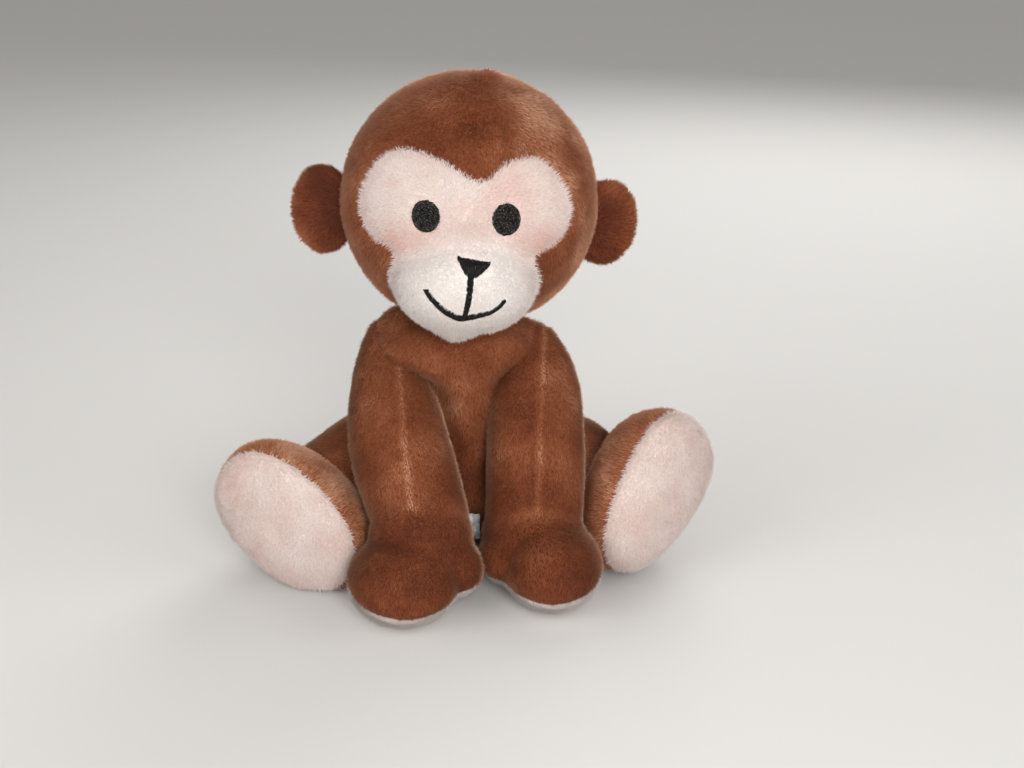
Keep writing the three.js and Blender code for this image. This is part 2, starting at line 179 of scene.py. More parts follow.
def addBall(bm, middle, size, turn=Matrix()):
    scale = Matrix.Diagonal((*(s * mm for s in size), 1))
    bmesh.ops.create_uvsphere(bm, u_segments=48, v_segments=32, radius=0.5,
                              matrix=Matrix.Translation(middle) @ turn @ scale)


# a stuffed tube: a sphere drawn out from start to end, as wide as its widths say
def addTube(bm, start, end, across, widths, flatness=1.0, blunt=0.5, ballEnd=True, sway=Vector(),
            square=2.0, taper=0.0):
    along = end - start
    length = along.length
    along.normalize()
    across = (across - along * across.dot(along)).normalized()
    deep = along.cross(across) * flatness
    for v in bmesh.ops.create_uvsphere(bm, u_segments=48, v_segments=32, radius=1.0)["verts"]:
        ring = math.hypot(v.co.x, v.co.y)
        rise = max(-1.0, min(1.0, v.co.z))
        side, depth, corner = 0, 0, 1
        if ring > 1e-6:
            side, depth = v.co.x / ring, v.co.y / ring
            corner = (abs(side) ** square + abs(depth) ** square) ** (-1 / square)
        if ballEnd and rise >= 0:
            radius = widths[-1] / 2 * mm * ring
            reach = length + rise * widths[-1] / 2 * mm
        else:
            share = 1 + rise if ballEnd else (1 + rise) / 2
            radius = widthAlong(widths, share) / 2 * mm * ring ** blunt
            reach = share * length
        outward = (across * side * (1 + taper * depth) + deep * depth) * radius * corner
        v.co = start + along * reach + outward + sway * min(1, reach / length) ** 3


# joins overlapping forms to one skin and rounds the joins
def skinOver(name, bm, voxel, rounds):
    bmesh.ops.recalc_face_normals(bm, faces=bm.faces[:])
    base = toObject(bm, name)
    remesh = base.modifiers.new("skin", "REMESH")
    remesh.mode = "VOXEL"
    remesh.voxel_size = voxel * mm
    applyModifiers(base)
    bm = loadMesh(base)
    for _ in range(rounds):
        bmesh.ops.smooth_vert(bm, verts=bm.verts[:], factor=0.5,
                              use_axis_x=True, use_axis_y=True, use_axis_z=True)
    storeMesh(bm, base)
    return base


# a seam is a point and a normal
def planeDistance(co, seam):
    point, normal = seam
    return (co - np.array(point)) @ np.array(normal.normalized())


def flip(seam):
    return seam[0], -seam[1]


# Forms of the stuffed parts, in mm, drawn in by the room that the pile takes
pileRoom = 0.6
sides = {"left": 1, "right": -1}
parts = {}  # every stuffed part, named like the CAD body it rides on: its skin, its seam and its fill


def addPart(name, bm, seam, voxel=2.0, rounds=4, fill=0.8):
    parts[name] = {"base": skinOver(name + "_skin", bm, voxel, rounds), "seam": seam, "fill": fill}
    return parts[name]


def slim(sizes):
    return [size - 2 * pileRoom for size in sizes]


torso = {"seat": at(0, 3, 0.8), "collar": at(0, -24, 84), "widths": (66, 74, 66, 59, 46), "flatness": 0.86,
         "blunt": 0.5, "neck": 32, "seamPoint": at(0, 10, 0), "yoke": at(-3, -27, 72),
         "yokeSize": (60, 31, 28), "shoulders": ((-21, -20, 77.5), (16.5, -20, 74)),
         "shoulderSize": (24, 21, 21), "nap": (0, -0.1, -1.0), "bellyPaintedShade": -0.2, "bellyAt": 35,
         "bellyReach": 18}


def makeTorso():
    lean = (torso["collar"] - torso["seat"]).normalized()
    bm = bmesh.new()
    addTube(bm, torso["seat"], torso["collar"], xAxis, slim(torso["widths"]), torso["flatness"],
            torso["blunt"], False)
    addBall(bm, jointAt["head_turn"], slim([torso["neck"]] * 3))
    addBall(bm, torso["yoke"], slim(torso["yokeSize"]))
    for place in torso["shoulders"]:
        addBall(bm, at(*place), slim(torso["shoulderSize"]))
    addPart("torso", bm, (torso["seamPoint"], lean.cross(xAxis)), rounds=9)


# the little peak lifts the crown where its seam ends
head = {"rise": 47, "crown": (84, 78, 84), "muzzle": (47, 49, 34), "muzzleAt": (-0.6, -25, -20),
        "chin": (13, 20, 13), "chinAt": (-3.8, -31, -31.8), "seamX": 4.3, "peak": (5.5, -2, 40.6),
        "peakSize": (8, 11, 5)}
headMiddle = jointAt["head_turn"] + at(0, 0, head["rise"])


def makeHead():
    bm = bmesh.new()
    addBall(bm, headMiddle, slim(head["crown"]))
    addBall(bm, headMiddle + at(*head["muzzleAt"]), slim(head["muzzle"]))
    addBall(bm, headMiddle + at(*head["chinAt"]), slim(head["chin"]))
    addBall(bm, headMiddle + at(*head["peak"]), head["peakSize"])
    addPart("head", bm, (headMiddle + at(head["seamX"], 0, 0), xAxis))


arm = {"flatness": 0.86, "blunt": 0.45, "seamTint": 0.32, "parting": 0.3, "cuffShade": -0.12, "cuffReach": 16,
       "left": {"widths": (24, 34.5, 35, 34, 32.5), "inset": 6, "root": 3, "sway": at(-2.5, 0, 0),
                "seamShift": -2, "seamSlope": -0.05, "outerTint": -0.05, "innerTint": -0.12},
       "right": {"widths": (20, 28.5, 33.5, 35, 32.5), "inset": -3, "root": 4, "sway": at(6, 0, 0),
                 "seamShift": 5, "seamSlope": 0.15, "outerTint": -0.05, "innerTint": -0.05}}


def makeArm(side, sign):
    form = arm[side]
    shoulder, wrist = jointAt[side + "_shoulder"], jointAt[side + "_wrist"]
    down = (wrist - shoulder).normalized()
    start = shoulder - down * form["root"] * mm - xAxis * sign * form["inset"] * mm
    bm = bmesh.new()
    addTube(bm, start, wrist, xAxis, slim(form["widths"]), arm["flatness"], arm["blunt"], sway=form["sway"])
    seam = (wrist + xAxis * form["seamShift"] * mm, xAxis + zAxis * form["seamSlope"])
    addPart(side + "_arm", bm, seam)


hand = {"long": 42, "tall": 26.5, "height": 13, "swell": (0.97, 1, 0.84), "blunt": 0.68, "cuff": 29,
        "cuffRoom": 1.5, "thumbWidths": (21, 20, 19), "thumbRoot": (5, -4, -5), "palmAhead": 16,
        "nap": (0, -0.7, -0.7), "parting": 1.5, "tipPaintedShading": -0.16, "palmFringe": 1.5, "palmTint": 0.3,
        "left": {"out": 3.4, "wide": 33, "forward": 12, "cuffDrop": 3, "thumbX": 12, "thumbBack": 3,
                 "thumbHeight": 14, "palmEdge": 7.6, "palmTilt": 0.02, "palmSlope": -0.1, "tint": -0.12},
        "right": {"out": -1.5, "wide": 36.5, "forward": 14, "cuffDrop": 6, "thumbX": -4.2, "thumbBack": 6,
                  "thumbHeight": 12.8, "palmEdge": 7.4, "palmTilt": 0.1, "palmSlope": -0.155, "tint": -0.04}}


def makeHand(side, sign):
    form = hand[side]
    shoulder, wrist = jointAt[side + "_shoulder"], jointAt[side + "_wrist"]
    down = (wrist - shoulder).normalized()
    cuff = wrist + arm[side]["sway"]
    middle = wrist + at(sign * form["out"], -form["forward"], 0)
    middle.z = hand["height"] * mm
    rise = zAxis * (hand["tall"] / 2 - pileRoom) * mm
    bm = bmesh.new()
    addTube(bm, middle - rise, middle + rise, xAxis, slim([form["wide"] * k for k in hand["swell"]]),
            hand["long"] / form["wide"], hand["blunt"], False)
    cuffSize = slim([arm[side]["widths"][-1] + hand["cuffRoom"], hand["cuff"], hand["cuff"]])
    addBall(bm, cuff + down * form["cuffDrop"] * mm, cuffSize)
    thumb = Vector((form["thumbX"] * mm, middle.y + form["thumbBack"] * mm, form["thumbHeight"] * mm))
    inward, ahead, below = hand["thumbRoot"]
    addTube(bm, cuff + at(-sign * inward, ahead, below), thumb, zAxis, slim(hand["thumbWidths"]))
    palmSeam = (Vector((middle.x, middle.y - hand["palmAhead"] * mm, form["palmEdge"] * mm)),
                Vector((-sign * form["palmTilt"], form["palmSlope"], 1)))
    addPart(side + "_hand", bm, palmSeam, voxel=1.7)["middle"] = middle


leg = {"root": 12, "widths": (57, 51, 38), "blunt": 0.45, "rise": {"left": 1.5, "right": 3.5}}


def makeLeg(side):
    hip, ankle = jointAt[side + "_hip"], jointAt[side + "_ankle"]
    out = (ankle - hip).normalized()
    rise = at(0, 0, leg["rise"][side])
    bm = bmesh.new()
    addTube(bm, hip - out * leg["root"] * mm + rise, ankle + rise, out.cross(zAxis), slim(leg["widths"]),
            blunt=leg["blunt"])
    addPart(side + "_leg", bm, (hip, out.cross(zAxis)))


# the sole faces out by its yaw, and its long side leans from level
foot = {"depth": 29, "heel": 35, "swell": (0.91, 0.99, 1), "long": 61, "blunt": 0.34, "square": 2.35,
        "soleFringe": 0.5, "soleNap": (0, 0, -1.0), "upperFall": (0, 0, -0.5),
        "left": {"yaw": 41, "lean": 43, "sole": at(67, -50, 27.8), "wide": 41, "taper": 0.16,
                 "rim": 9.5, "rimTurn": 0.08, "tint": 0.14},
        "right": {"yaw": 18, "lean": 52, "sole": at(-61.8, -61.5, 22.5), "wide": 43, "taper": 0.0,
                  "rim": 6.4, "rimTurn": 0.06, "tint": 0.34}}


def makeFoot(side, sign):
    form = foot[side]
    sole, wide = form["sole"], form["wide"]
    yaw, lean = math.radians(form["yaw"]), math.radians(form["lean"])
    facing = Vector((sign * math.sin(yaw), -math.cos(yaw), 0))
    level = zAxis.cross(facing) * sign
    across = level * math.cos(lean) - zAxis * math.sin(lean)
    bm = bmesh.new()
    addTube(bm, sole - facing * foot["depth"] * mm, sole - facing * pileRoom * mm, across,
            slim([foot["heel"], *(wide * k for k in foot["swell"])]), foot["long"] / wide, foot["blunt"],
            False, square=foot["square"], taper=form["taper"])
    soleSeam = (sole - facing * form["rim"] * mm, facing + level * form["rimTurn"])
    addPart(side + "_foot", bm, soleSeam, voxel=1.7, rounds=2)["facing"] = facing


# a flat ball, cupped like a shallow bowl
ear = {"cup": 2.5, "tipPaintedShading": 0.55, "tipAt": 17,
       "left": {"middle": (44.6, 0, -7.6), "size": (24.5, 8, 29.2), "yaw": 20, "tilt": 0, "tint": -0.58},
       "right": {"middle": (-49.5, 0, -3.7), "size": (26, 8, 31.2), "yaw": 30, "tilt": 14, "tint": -0.66}}


def makeEar(side, sign):
    form = ear[side]
    root = jointAt[side + "_ear_bend"]
    turn = Matrix.Rotation(math.radians(sign * form["yaw"]), 4, "Z")
    middle = root + turn @ (headMiddle + at(*form["middle"]) - root)
    turn = turn @ Matrix.Rotation(math.radians(form["tilt"]), 4, "Y")
    back = turn @ yAxis
    bm = bmesh.new()
    addBall(bm, middle, form["size"], turn)
    for v in bm.verts:
        flat = (v.co - middle) - back * (v.co - middle).dot(back)
        v.co += back * ear["cup"] * mm * max(0, 1 - (flat.length / (form["size"][0] / 2 * mm)) ** 2)
    addPart(side + "_ear", bm, (middle, back), voxel=1.3, rounds=3, fill=0.5)


makeTorso()
makeHead()
for side, sign in sides.items():
    makeArm(side, sign)
    makeHand(side, sign)
    makeLeg(side)
    makeFoot(side, sign)
    makeEar(side, sign)
print("skins made:", len(parts))

# Stuffing: each skin swells under pressure and is held at its seams
stuffing = {"frames": 20, "cap": 1.2, "hold": 1.6}
clothSettings = {"quality": 5, "mass": 0.05, "tension_stiffness": 3.0, "compression_stiffness": 3.0,
                 "shear_stiffness": 3.0, "bending_stiffness": 0.05, "use_pressure": True,
                 "uniform_pressure_force": 300.0, "vertex_group_mass": "seam"}


def addCloth(part):
    base = part["base"]
    co = readVectors(base.data.vertices, "co")
    held = np.abs(planeDistance(co, part["seam"])) < stuffing["hold"] * mm
    group = base.vertex_groups.new(name="seam")
    group.add([int(i) for i in np.flatnonzero(held)], 1.0, "REPLACE")
    cloth = base.modifiers.new("stuffing", "CLOTH")
    for key, value in clothSettings.items():
        setattr(cloth.settings, key, value)
    cloth.settings.effector_weights.gravity = 0
    cloth.collision_settings.use_collision = False
    cloth.point_cache.frame_start = 1
    cloth.point_cache.frame_end = stuffing["frames"]
    return co


def stuffAll():
    before = {name: addCloth(part) for name, part in parts.items()}
    for number in range(1, stuffing["frames"] + 1):
        scene.frame_set(number)
    for name, part in parts.items():
        base = part["base"]
        applyModifiers(base)
        move = readVectors(base.data.vertices, "co") - before[name]
        far = np.linalg.norm(move, axis=1, keepdims=True)
        move *= np.minimum(1, stuffing["cap"] * mm / np.maximum(far, 1e-9))
        moveVerts(base.data, before[name] + move)
        print("stuffed", name, "moved up to %.2f mm" % (np.linalg.norm(move, axis=1).max() / mm))
    scene.frame_set(1)


stuffAll()

# seams draw the cloth in, and what rests on the floor leaves room for its pressed pile
groove = {"depth": 0.5, "width": 1.6, "restHeight": 1.0}
for part in parts.values():
    mesh = part["base"].data
    co, normals = shapeOf(mesh)
    near = softEdge(planeDistance(co, part["seam"]), groove["width"])
    co -= normals * (groove["depth"] * mm * near)[:, None]
    co[:, 2] = np.maximum(co[:, 2], groove["restHeight"] * mm)
    moveVerts(mesh, co)
    part["tree"] = treeOf(mesh)

# the body draws in beside the arms, up to the shoulders
crease = {"depth": 3.6, "width": 5.0, "top": {"left": 86, "right": 75}, "fade": 10}
mesh = parts["torso"]["base"].data
co, normals = shapeOf(mesh)
drawn = np.zeros(len(co))
for side in sides:
    gap, above = reachTo(co, parts[side + "_arm"]["tree"])
    below = np.clip((crease["top"][side] - co[:, 2] / mm) / crease["fade"], 0, 1)
    drawn = np.maximum(drawn, softEdge(np.where(above > 0, gap, 0), crease["width"]) * below)
co -= normals * (crease["depth"] * mm * drawn)[:, None]
co[:, 2] = np.maximum(co[:, 2], groove["restHeight"] * mm)
moveVerts(mesh, co)
parts["torso"]["tree"] = treeOf(mesh)
print("seams and creases drawn in")


def closedCurve(points, steps=8):
    points = [np.array(point, float) for point in points]
    spans = [[points[(i + k) % len(points)] for k in (-1, 0, 1, 2)] for i in range(len(points))]
    return np.array([curvePoint(span, t) for span in spans for t in np.arange(steps) / steps])


def nearestOnCurve(spots, curve):
    step = np.roll(curve, -1, axis=0) - curve
    share = np.clip(((spots[:, None] - curve) * step).sum(2) / (step ** 2).sum(1), 0, 1)
    places = curve + share[..., None] * step
    gaps = np.linalg.norm(spots[:, None] - places, axis=2)
    best = gaps.argmin(1)
    rows = np.arange(len(spots))
    return places[rows, best], gaps[rows, best]


def insideCurve(spots, curve):
    x, z = spots[:, :1], spots[:, 1:]
    nextOne = np.roll(curve, -1, axis=0)
    crosses = (curve[:, 1] > z) != (nextOne[:, 1] > z)
    rise = np.where(nextOne[:, 1] == curve[:, 1], 1e-12, nextOne[:, 1] - curve[:, 1])
    where = curve[:, 0] + (z - curve[:, 1]) * (nextOne[:, 0] - curve[:, 0]) / rise
    return (crosses & (x < where)).sum(1) % 2 == 1


# Face: the pale panel's outline seen from the front, mm from the head's middle
face = {"outline": [(4.3, 13.4), (-7.9, 19.6), (-20.2, 21.6), (-28.9, 15.6), (-33.6, 3.6), (-30.2, -5),
                    (-22.6, -9.8), (-24.6, -20), (-21, -33), (-12, -40), (-3.5, -42.5), (10, -40),
                    (18.6, -33), (22.4, -20), (20.8, -11), (28, -6.8), (32.2, 1.4), (28.8, 12),
                    (21.2, 18.9), (12.8, 18.5)],
        "sink": 0.9, "sinkWidth": 1.8, "rayStart": 12, "rimShift": 3, "fringe": 0.6}


# sinks the outline into the head and marks the faces inside it with the second material
def cutFace():
    curve = closedCurve(face["outline"]) * mm + np.array([headMiddle.x, headMiddle.z])
    base = parts["head"]["base"]
    co, normals = shapeOf(base.data)
    front = co[:, 1] < headMiddle.y
    _, gap = nearestOnCurve(co[:, [0, 2]], curve)
    dip = face["sink"] * mm * softEdge(gap, face["sinkWidth"]) * front
    moveVerts(base.data, co - normals * dip[:, None])
    bm = loadMesh(base)
    tree = BVHTree.FromBMesh(bm)
    middles = np.array([f.calc_center_median() for f in bm.faces])
    inside = insideCurve(middles[:, [0, 2]], curve) & (middles[:, 1] < headMiddle.y)
    for f, pale in zip(bm.faces, inside):
        f.material_index = int(pale)
    rim = [v for v in bm.verts if len({f.material_index for f in v.link_faces}) == 2]
    spots, _ = nearestOnCurve(np.array([(v.co.x, v.co.z) for v in rim]), curve)
    for v, spot in zip(rim, spots):
        hit = tree.ray_cast(Vector((spot[0], v.co.y - face["rayStart"] * mm, spot[1])), yAxis)[0]
        if hit is not None and (hit - v.co).length < face["rimShift"] * mm:
            v.co = hit
    storeMesh(bm, base)
    parts["head"]["tree"] = tree


cutFace()


# keeps the side of the cut that its normal points to, or the faces of one material
def cutPanel(part, name, cut, material):
    bm = loadMesh(part["base"])
    if material is not None:
        gone = [f for f in bm.faces if f.material_index != material]
        bmesh.ops.delete(bm, geom=gone, context="FACES")
    if cut is not None:
        bmesh.ops.bisect_plane(bm, geom=bm.verts[:] + bm.edges[:] + bm.faces[:], dist=1e-6,
                               plane_co=cut[0], plane_no=cut[1], clear_inner=True)
    for f in bm.faces:
        f.material_index = 0
        f.smooth = True
    return toObject(bm, name)


# Fibres of the pile: one closed three-sided spike with a flat side out, set by the thousand
bm = bmesh.new()
bmesh.ops.create_cone(bm, cap_ends=True, segments=3, radius1=0.5, radius2=0, depth=1.0,
                      matrix=Matrix.Translation((0, 0, 0.5)) @ Matrix.Rotation(math.pi / 2, 4, "Z"))
bmesh.ops.remove_doubles(bm, verts=bm.verts[:], dist=1e-5)
fibre = toObject(bm, "fibre")
rise = fibre.data.attributes.new("rise", "FLOAT", "POINT")
rise.data.foreach_set("value", [v.co.z for v in fibre.data.vertices])
breadth = fibre.data.attributes.new("breadth", "FLOAT", "POINT")
breadth.data.foreach_set("value", [v.co.y for v in fibre.data.vertices])

# lengths, widths, patches and clumps in mm, the rest are shares
piles = {
    "brown": {"perSquareMm": 5.0, "length": 1.8, "width": 0.44, "stand": 0.55, "lean": 0.8, "mess": 0.35,
              "brush": 1.1, "patch": 14, "patchTint": 1.2, "hairTint": 0.3, "clump": 3.0},
    "pale": {"perSquareMm": 6.0, "length": 1.8, "width": 0.32, "stand": 0.6, "lean": 0.6, "mess": 0.35,
             "brush": 1.0, "patch": 16, "patchTint": 0.9, "hairTint": 0.32, "clump": 2.4},
}
# all fibres: shares of brush, length and width, then the free rim and a fibre's width in its UV map
hairs = {"clumpBrush": 0.8, "shortest": 0.7, "longest": 1.15, "flatness": 0.6, "mapRim": 0.01,
         "mapWidth": 0.006}
# how the pile lies at a panel's rim: pale fibres spread over the seam, brown ones part from it
edge = {"fringeWidth": 2.2, "fringeTurn": 0.6, "fringeOut": 1.5, "fringeLong": 0.2, "partWidth": 1.3,
        "partShort": 0.4, "seamWidth": 0.8, "joinTint": 0.16, "buried": 3.5, "floorGap": 0.3,
        "shortest": 0.35}


# distance of each point of a panel from its rim, and the way to it
def rimOf(panel):
    bm = loadMesh(panel)
    rim = [v for v in bm.verts if v.is_boundary]
    gap = np.full(len(bm.verts), 1.0)
    outward = np.zeros((len(bm.verts), 3))
    tree = KDTree(len(rim))
    for v in rim:
        tree.insert(v.co, v.index)
    tree.balance()
    for v in bm.verts if rim else ():
        spot, _, gap[v.index] = tree.find(v.co)
        if v.is_boundary:
            inner = [e.other_vert(v).co for e in v.link_edges if not e.other_vert(v).is_boundary]
            spot = v.co * 2 - sum(inner, Vector()) / len(inner) if inner else v.co
        outward[v.index] = spot - v.co
    bm.free()
    return gap, unit(outward)


# gives each point of the panel its nap direction, fibre length, density and tint
# comb and tint are values for the whole panel or functions of its points
def dressPanel(panel, colour, comb, tint=0.0, neighbours=(), seamTint=0.0, bareAt=None, fringe=1.0,
               parting=0.6, joinedTo=()):
    mesh = panel.data
    co, normals = shapeOf(mesh)
    flow = np.array(comb(co) if callable(comb) else comb, float) * np.ones((len(co), 1))
    flow = unit(flow - normals * (flow * normals).sum(1, keepdims=True))
    gap, outward = rimOf(panel)
    long, keep, shade = np.ones(len(co)), np.ones(len(co)), np.zeros(len(co))
    if colour == "pale":
        near = softEdge(gap, edge["fringeWidth"])[:, None] * fringe
        flow = flow * (1 - edge["fringeTurn"] * near) + outward * edge["fringeOut"] * near
        long *= 1 + edge["fringeLong"] * near[:, 0]
    else:
        near = softEdge(gap, edge["partWidth"])[:, None]
        flow = flow - outward * parting * near
        long *= 1 - edge["partShort"] * parting * near[:, 0]
        shade += seamTint * softEdge(gap, edge["seamWidth"])
    long *= np.clip((co[:, 2] / mm - edge["floorGap"]) / piles[colour]["length"], edge["shortest"], 1)
    for other in neighbours:
        keep[reachTo(co, parts[other]["tree"])[1] < -edge["buried"] * mm] = 0
    for other in joinedTo:
        shade += edge["joinTint"] * softEdge(reachTo(co, parts[other]["tree"])[0], edge["seamWidth"])
    if bareAt is not None:
        bare, short = bareAt(co)
        keep *= bare
        long *= short
    # the tint carries the panel's own tones and also the painted light and shade that its sew call gives
    shade += tint(co) if callable(tint) else tint
    for name, values in (("long", long), ("keep", keep), ("shade", shade)):
        layer = mesh.attributes.new(name, "FLOAT", "POINT")
        layer.data.foreach_set("value", values.astype(np.float32))
    layer = mesh.attributes.new("comb", "FLOAT_VECTOR", "POINT")
    layer.data.foreach_set("vector", flow.astype(np.float32).ravel())


def pileTree(pile, seed):
    tree = bpy.data.node_groups.new("pile", "GeometryNodeTree")
    tree.interface.new_socket("Cloth", in_out="INPUT", socket_type="NodeSocketGeometry")
    tree.interface.new_socket("Pile", in_out="OUTPUT", socket_type="NodeSocketGeometry")
    cloth = addNode(tree, "NodeGroupInput")
    field = {}
    for key, kind in (("keep", "FLOAT"), ("long", "FLOAT"), ("shade", "FLOAT"), ("comb", "FLOAT_VECTOR")):
        field[key] = addNode(tree, "GeometryNodeInputNamedAttribute", {"Name": key}, data_type=kind)
    density = addNode(tree, "ShaderNodeMath", {0: field["keep"], 1: pile["perSquareMm"] / mm ** 2},
                      operation="MULTIPLY")
    points = addNode(tree, "GeometryNodeDistributePointsOnFaces",
                     {"Mesh": cloth, "Density": density, "Seed": seed})
    normal = points.outputs["Normal"]
    place = addNode(tree, "GeometryNodeInputPosition")
    # brushed patches turn the nap, small clumps part it, and each hair strays a little
    patches, clumps = [addNode(tree, "ShaderNodeTexNoise",
                               {"Vector": place, "Scale": 1 / (pile[key] * mm), "Detail": detail})
                       for key, detail in (("patch", 3.0), ("clump", 1.0))]
    stray = addNode(tree, "FunctionNodeRandomValue", {0: (-1, -1, -1), 1: (1, 1, 1), "Seed": seed + 1},
                    data_type="FLOAT_VECTOR")
    leans = [(field["comb"], pile["lean"])]
    for noise, amount in ((patches, pile["brush"]), (clumps, pile["brush"] * hairs["clumpBrush"])):
        centred = addNode(tree, "ShaderNodeVectorMath", {0: noise.outputs["Color"], 1: (0.5, 0.5, 0.5)},
                          operation="SUBTRACT")
        leans.append((centred, amount))
    leans.append((stray, pile["mess"]))
    way = addNode(tree, "ShaderNodeVectorMath", {0: normal, "Scale": pile["stand"]}, operation="SCALE")
    for vector, amount in leans:
        way = addNode(tree, "ShaderNodeVectorMath", {0: vector, 1: (amount,) * 3, 2: way},
                      operation="MULTIPLY_ADD")
    turn = addNode(tree, "FunctionNodeAlignRotationToVector", {"Vector": way}, axis="Z")
    turn = addNode(tree, "FunctionNodeAlignRotationToVector", {"Rotation": turn, "Vector": normal},
                   axis="X", pivot_axis="Z")
    vary = addNode(tree, "FunctionNodeRandomValue",
                   {2: hairs["shortest"], 3: hairs["longest"], "Seed": seed + 2})
    length = addNode(tree, "ShaderNodeMath", {0: field["long"], 1: vary.outputs[1]}, operation="MULTIPLY")
    length = addNode(tree, "ShaderNodeMath", {0: length, 1: pile["length"] * mm}, operation="MULTIPLY")
    size = addNode(tree, "ShaderNodeCombineXYZ",
                   {0: pile["width"] * hairs["flatness"] * mm, 1: pile["width"] * mm, 2: length})
    # tint from 0, dark, to 1, light
    hair = addNode(tree, "FunctionNodeRandomValue", {2: -0.5, 3: 0.5, "Seed": seed + 3})
    tint = addNode(tree, "ShaderNodeMath", {0: patches, 1: pile["patchTint"], 2: 0.5 - pile["patchTint"] / 2},
                   operation="MULTIPLY_ADD")
    tint = addNode(tree, "ShaderNodeMath", {0: hair.outputs[1], 1: pile["hairTint"], 2: tint},
                   operation="MULTIPLY_ADD")
    tint = addNode(tree, "ShaderNodeMath", {0: tint, 1: field["shade"]}, operation="ADD")
    marked = points
    for key, value, kind in (("tint", tint, "FLOAT"), ("lay", normal, "FLOAT_VECTOR")):
        marked = addNode(tree, "GeometryNodeStoreNamedAttribute",
                         {"Geometry": marked, "Name": key, "Value": value}, data_type=kind)
    source = addNode(tree, "GeometryNodeObjectInfo", {"Object": fibre}).outputs["Geometry"]
    copies = addNode(tree, "GeometryNodeInstanceOnPoints",
                     {"Points": marked, "Instance": source, "Rotation": turn, "Scale": size})
    real = addNode(tree, "GeometryNodeRealizeInstances", {0: copies})
    addNode(tree, "NodeGroupOutput", {0: real})
    return tree


# grows the fibres, then keeps tint and height in a UV map and shades each fibre like the cloth under it
def growPile(panel, name, pile, seed):
    tree = pileTree(pile, seed)
    piece = addObject(name, panel.data.copy())
    piece.modifiers.new("pile", "NODES").node_group = tree
    applyModifiers(piece)
    bpy.data.node_groups.remove(tree)
    mesh = piece.data
    read = {}
    for key, width in (("tint", 1), ("rise", 1), ("breadth", 1), ("lay", 3)):
        read[key] = np.empty(len(mesh.vertices) * width, np.float32)
        mesh.attributes[key].data.foreach_get("vector" if width == 3 else "value", read[key])
    corners = np.empty(len(mesh.loops), np.int32)
    mesh.loops.foreach_get("vertex_index", corners)
    rim = hairs["mapRim"]
    across = np.clip(read["tint"], rim, 1 - rim) + hairs["mapWidth"] * read["breadth"]
    upward = rim + (1 - 2 * rim) * read["rise"]
    used = ("tint", "lay", "breadth", "rise", "long", "keep", "shade", "comb")
    for key in [layer.name for layer in mesh.attributes if layer.name in used]:
        mesh.attributes.remove(mesh.attributes[key])
    spots = np.stack([across, upward], 1)[corners]
    mesh.uv_layers.new(name="OFBake").data.foreach_set("uv", spots.astype(np.float32).ravel())
    mesh.shade_smooth()
    mesh.normals_split_custom_set_from_vertices(unit(read["lay"].reshape(-1, 3)))
    return piece


# Materials
def newMaterial(name):
    material = bpy.data.materials.new(name)
    material.use_nodes = True
    material.node_tree.nodes.clear()
    return material, material.node_tree


def addShader(tree, sockets):
    shader = addNode(tree, "ShaderNodeBsdfPrincipled", sockets)
    addNode(tree, "ShaderNodeOutputMaterial", {"Surface": shader})


# pile: the UV map's first number is the tint, its second runs from root to tip and drives a ramp of painted
# shade, darker at the fibres' roots
def pileMaterial(name, tones, rootShades, finish):
    material, tree = newMaterial(name)
    place = addNode(tree, "ShaderNodeUVMap", uv_map="OFBake")
    spot = addNode(tree, "ShaderNodeSeparateXYZ", {0: place})
    tone = addNode(tree, "ShaderNodeValToRGB", {0: spot}, tones)
    # painted shade: each fibre darkens from its tip towards its root
    depth = addNode(tree, "ShaderNodeValToRGB", {0: spot.outputs[1]}, rootShades)
    blend = addNode(tree, "ShaderNodeMix", {0: 1.0, 6: tone, 7: depth},
                    data_type="RGBA", blend_type="MULTIPLY")
    addShader(tree, {"Base Color": blend.outputs[2], **finish})
    return material


# the knitted ground that the pile stands on: dull, dyed like its pile but lifted lighter as painted light
# against the shade in the gaps between fibres, with fine loops 0.9 mm apart
def knitMaterial(name, dyes):
    material, tree = newMaterial(name)
    place = addNode(tree, "ShaderNodeTexCoord").outputs["Object"]
    loops = addNode(tree, "ShaderNodeTexVoronoi", {"Vector": place, "Scale": 1 / (0.9 * mm)})
    patch = addNode(tree, "ShaderNodeTexNoise", {"Vector": place, "Scale": 1 / (8 * mm), "Detail": 2.0})
    height = loops.outputs["Distance"]
    mixed = addNode(tree, "ShaderNodeMath", {0: patch, 1: height}, operation="SUBTRACT")
    bump = addNode(tree, "ShaderNodeBump", {"Height": height, "Strength": 0.4, "Distance": 0.2 * mm})
    # the panel's tint, painted light and shade among it, also dyes the ground
    shade = addNode(tree, "ShaderNodeAttribute", attribute_name="shade").outputs["Fac"]
    level = addNode(tree, "ShaderNodeMath", {0: mixed, 1: 0.5, 2: shade}, operation="MULTIPLY_ADD")
    # painted light: the ground is lifted lighter so the shaded gaps between fibres look less dark
    level = addNode(tree, "ShaderNodeMath", {0: level, 1: 0.52})
    dye = addNode(tree, "ShaderNodeValToRGB", {0: level}, list(zip((0.0, 0.45, 0.8, 1.0), dyes)))
    addShader(tree, {"Base Color": dye, "Normal": bump, "Roughness": 0.95, "Specular IOR Level": 0.1})
    return material


# one pattern drives both colour and relief, bump is its strength and its height in mm
def patternMaterial(name, kind, pattern, bump, stops, finish, **options):
    material, tree = newMaterial(name)
    place = addNode(tree, "ShaderNodeTexCoord").outputs["Object"]
    level = addNode(tree, kind, {"Vector": place, **pattern}, **options).outputs["Fac"]
    relief = addNode(tree, "ShaderNodeBump",
                     {"Height": level, "Strength": bump[0], "Distance": bump[1] * mm})
    dye = addNode(tree, "ShaderNodeValToRGB", {0: level}, stops)
    addShader(tree, {"Base Color": dye, "Normal": relief, **finish})
    return material


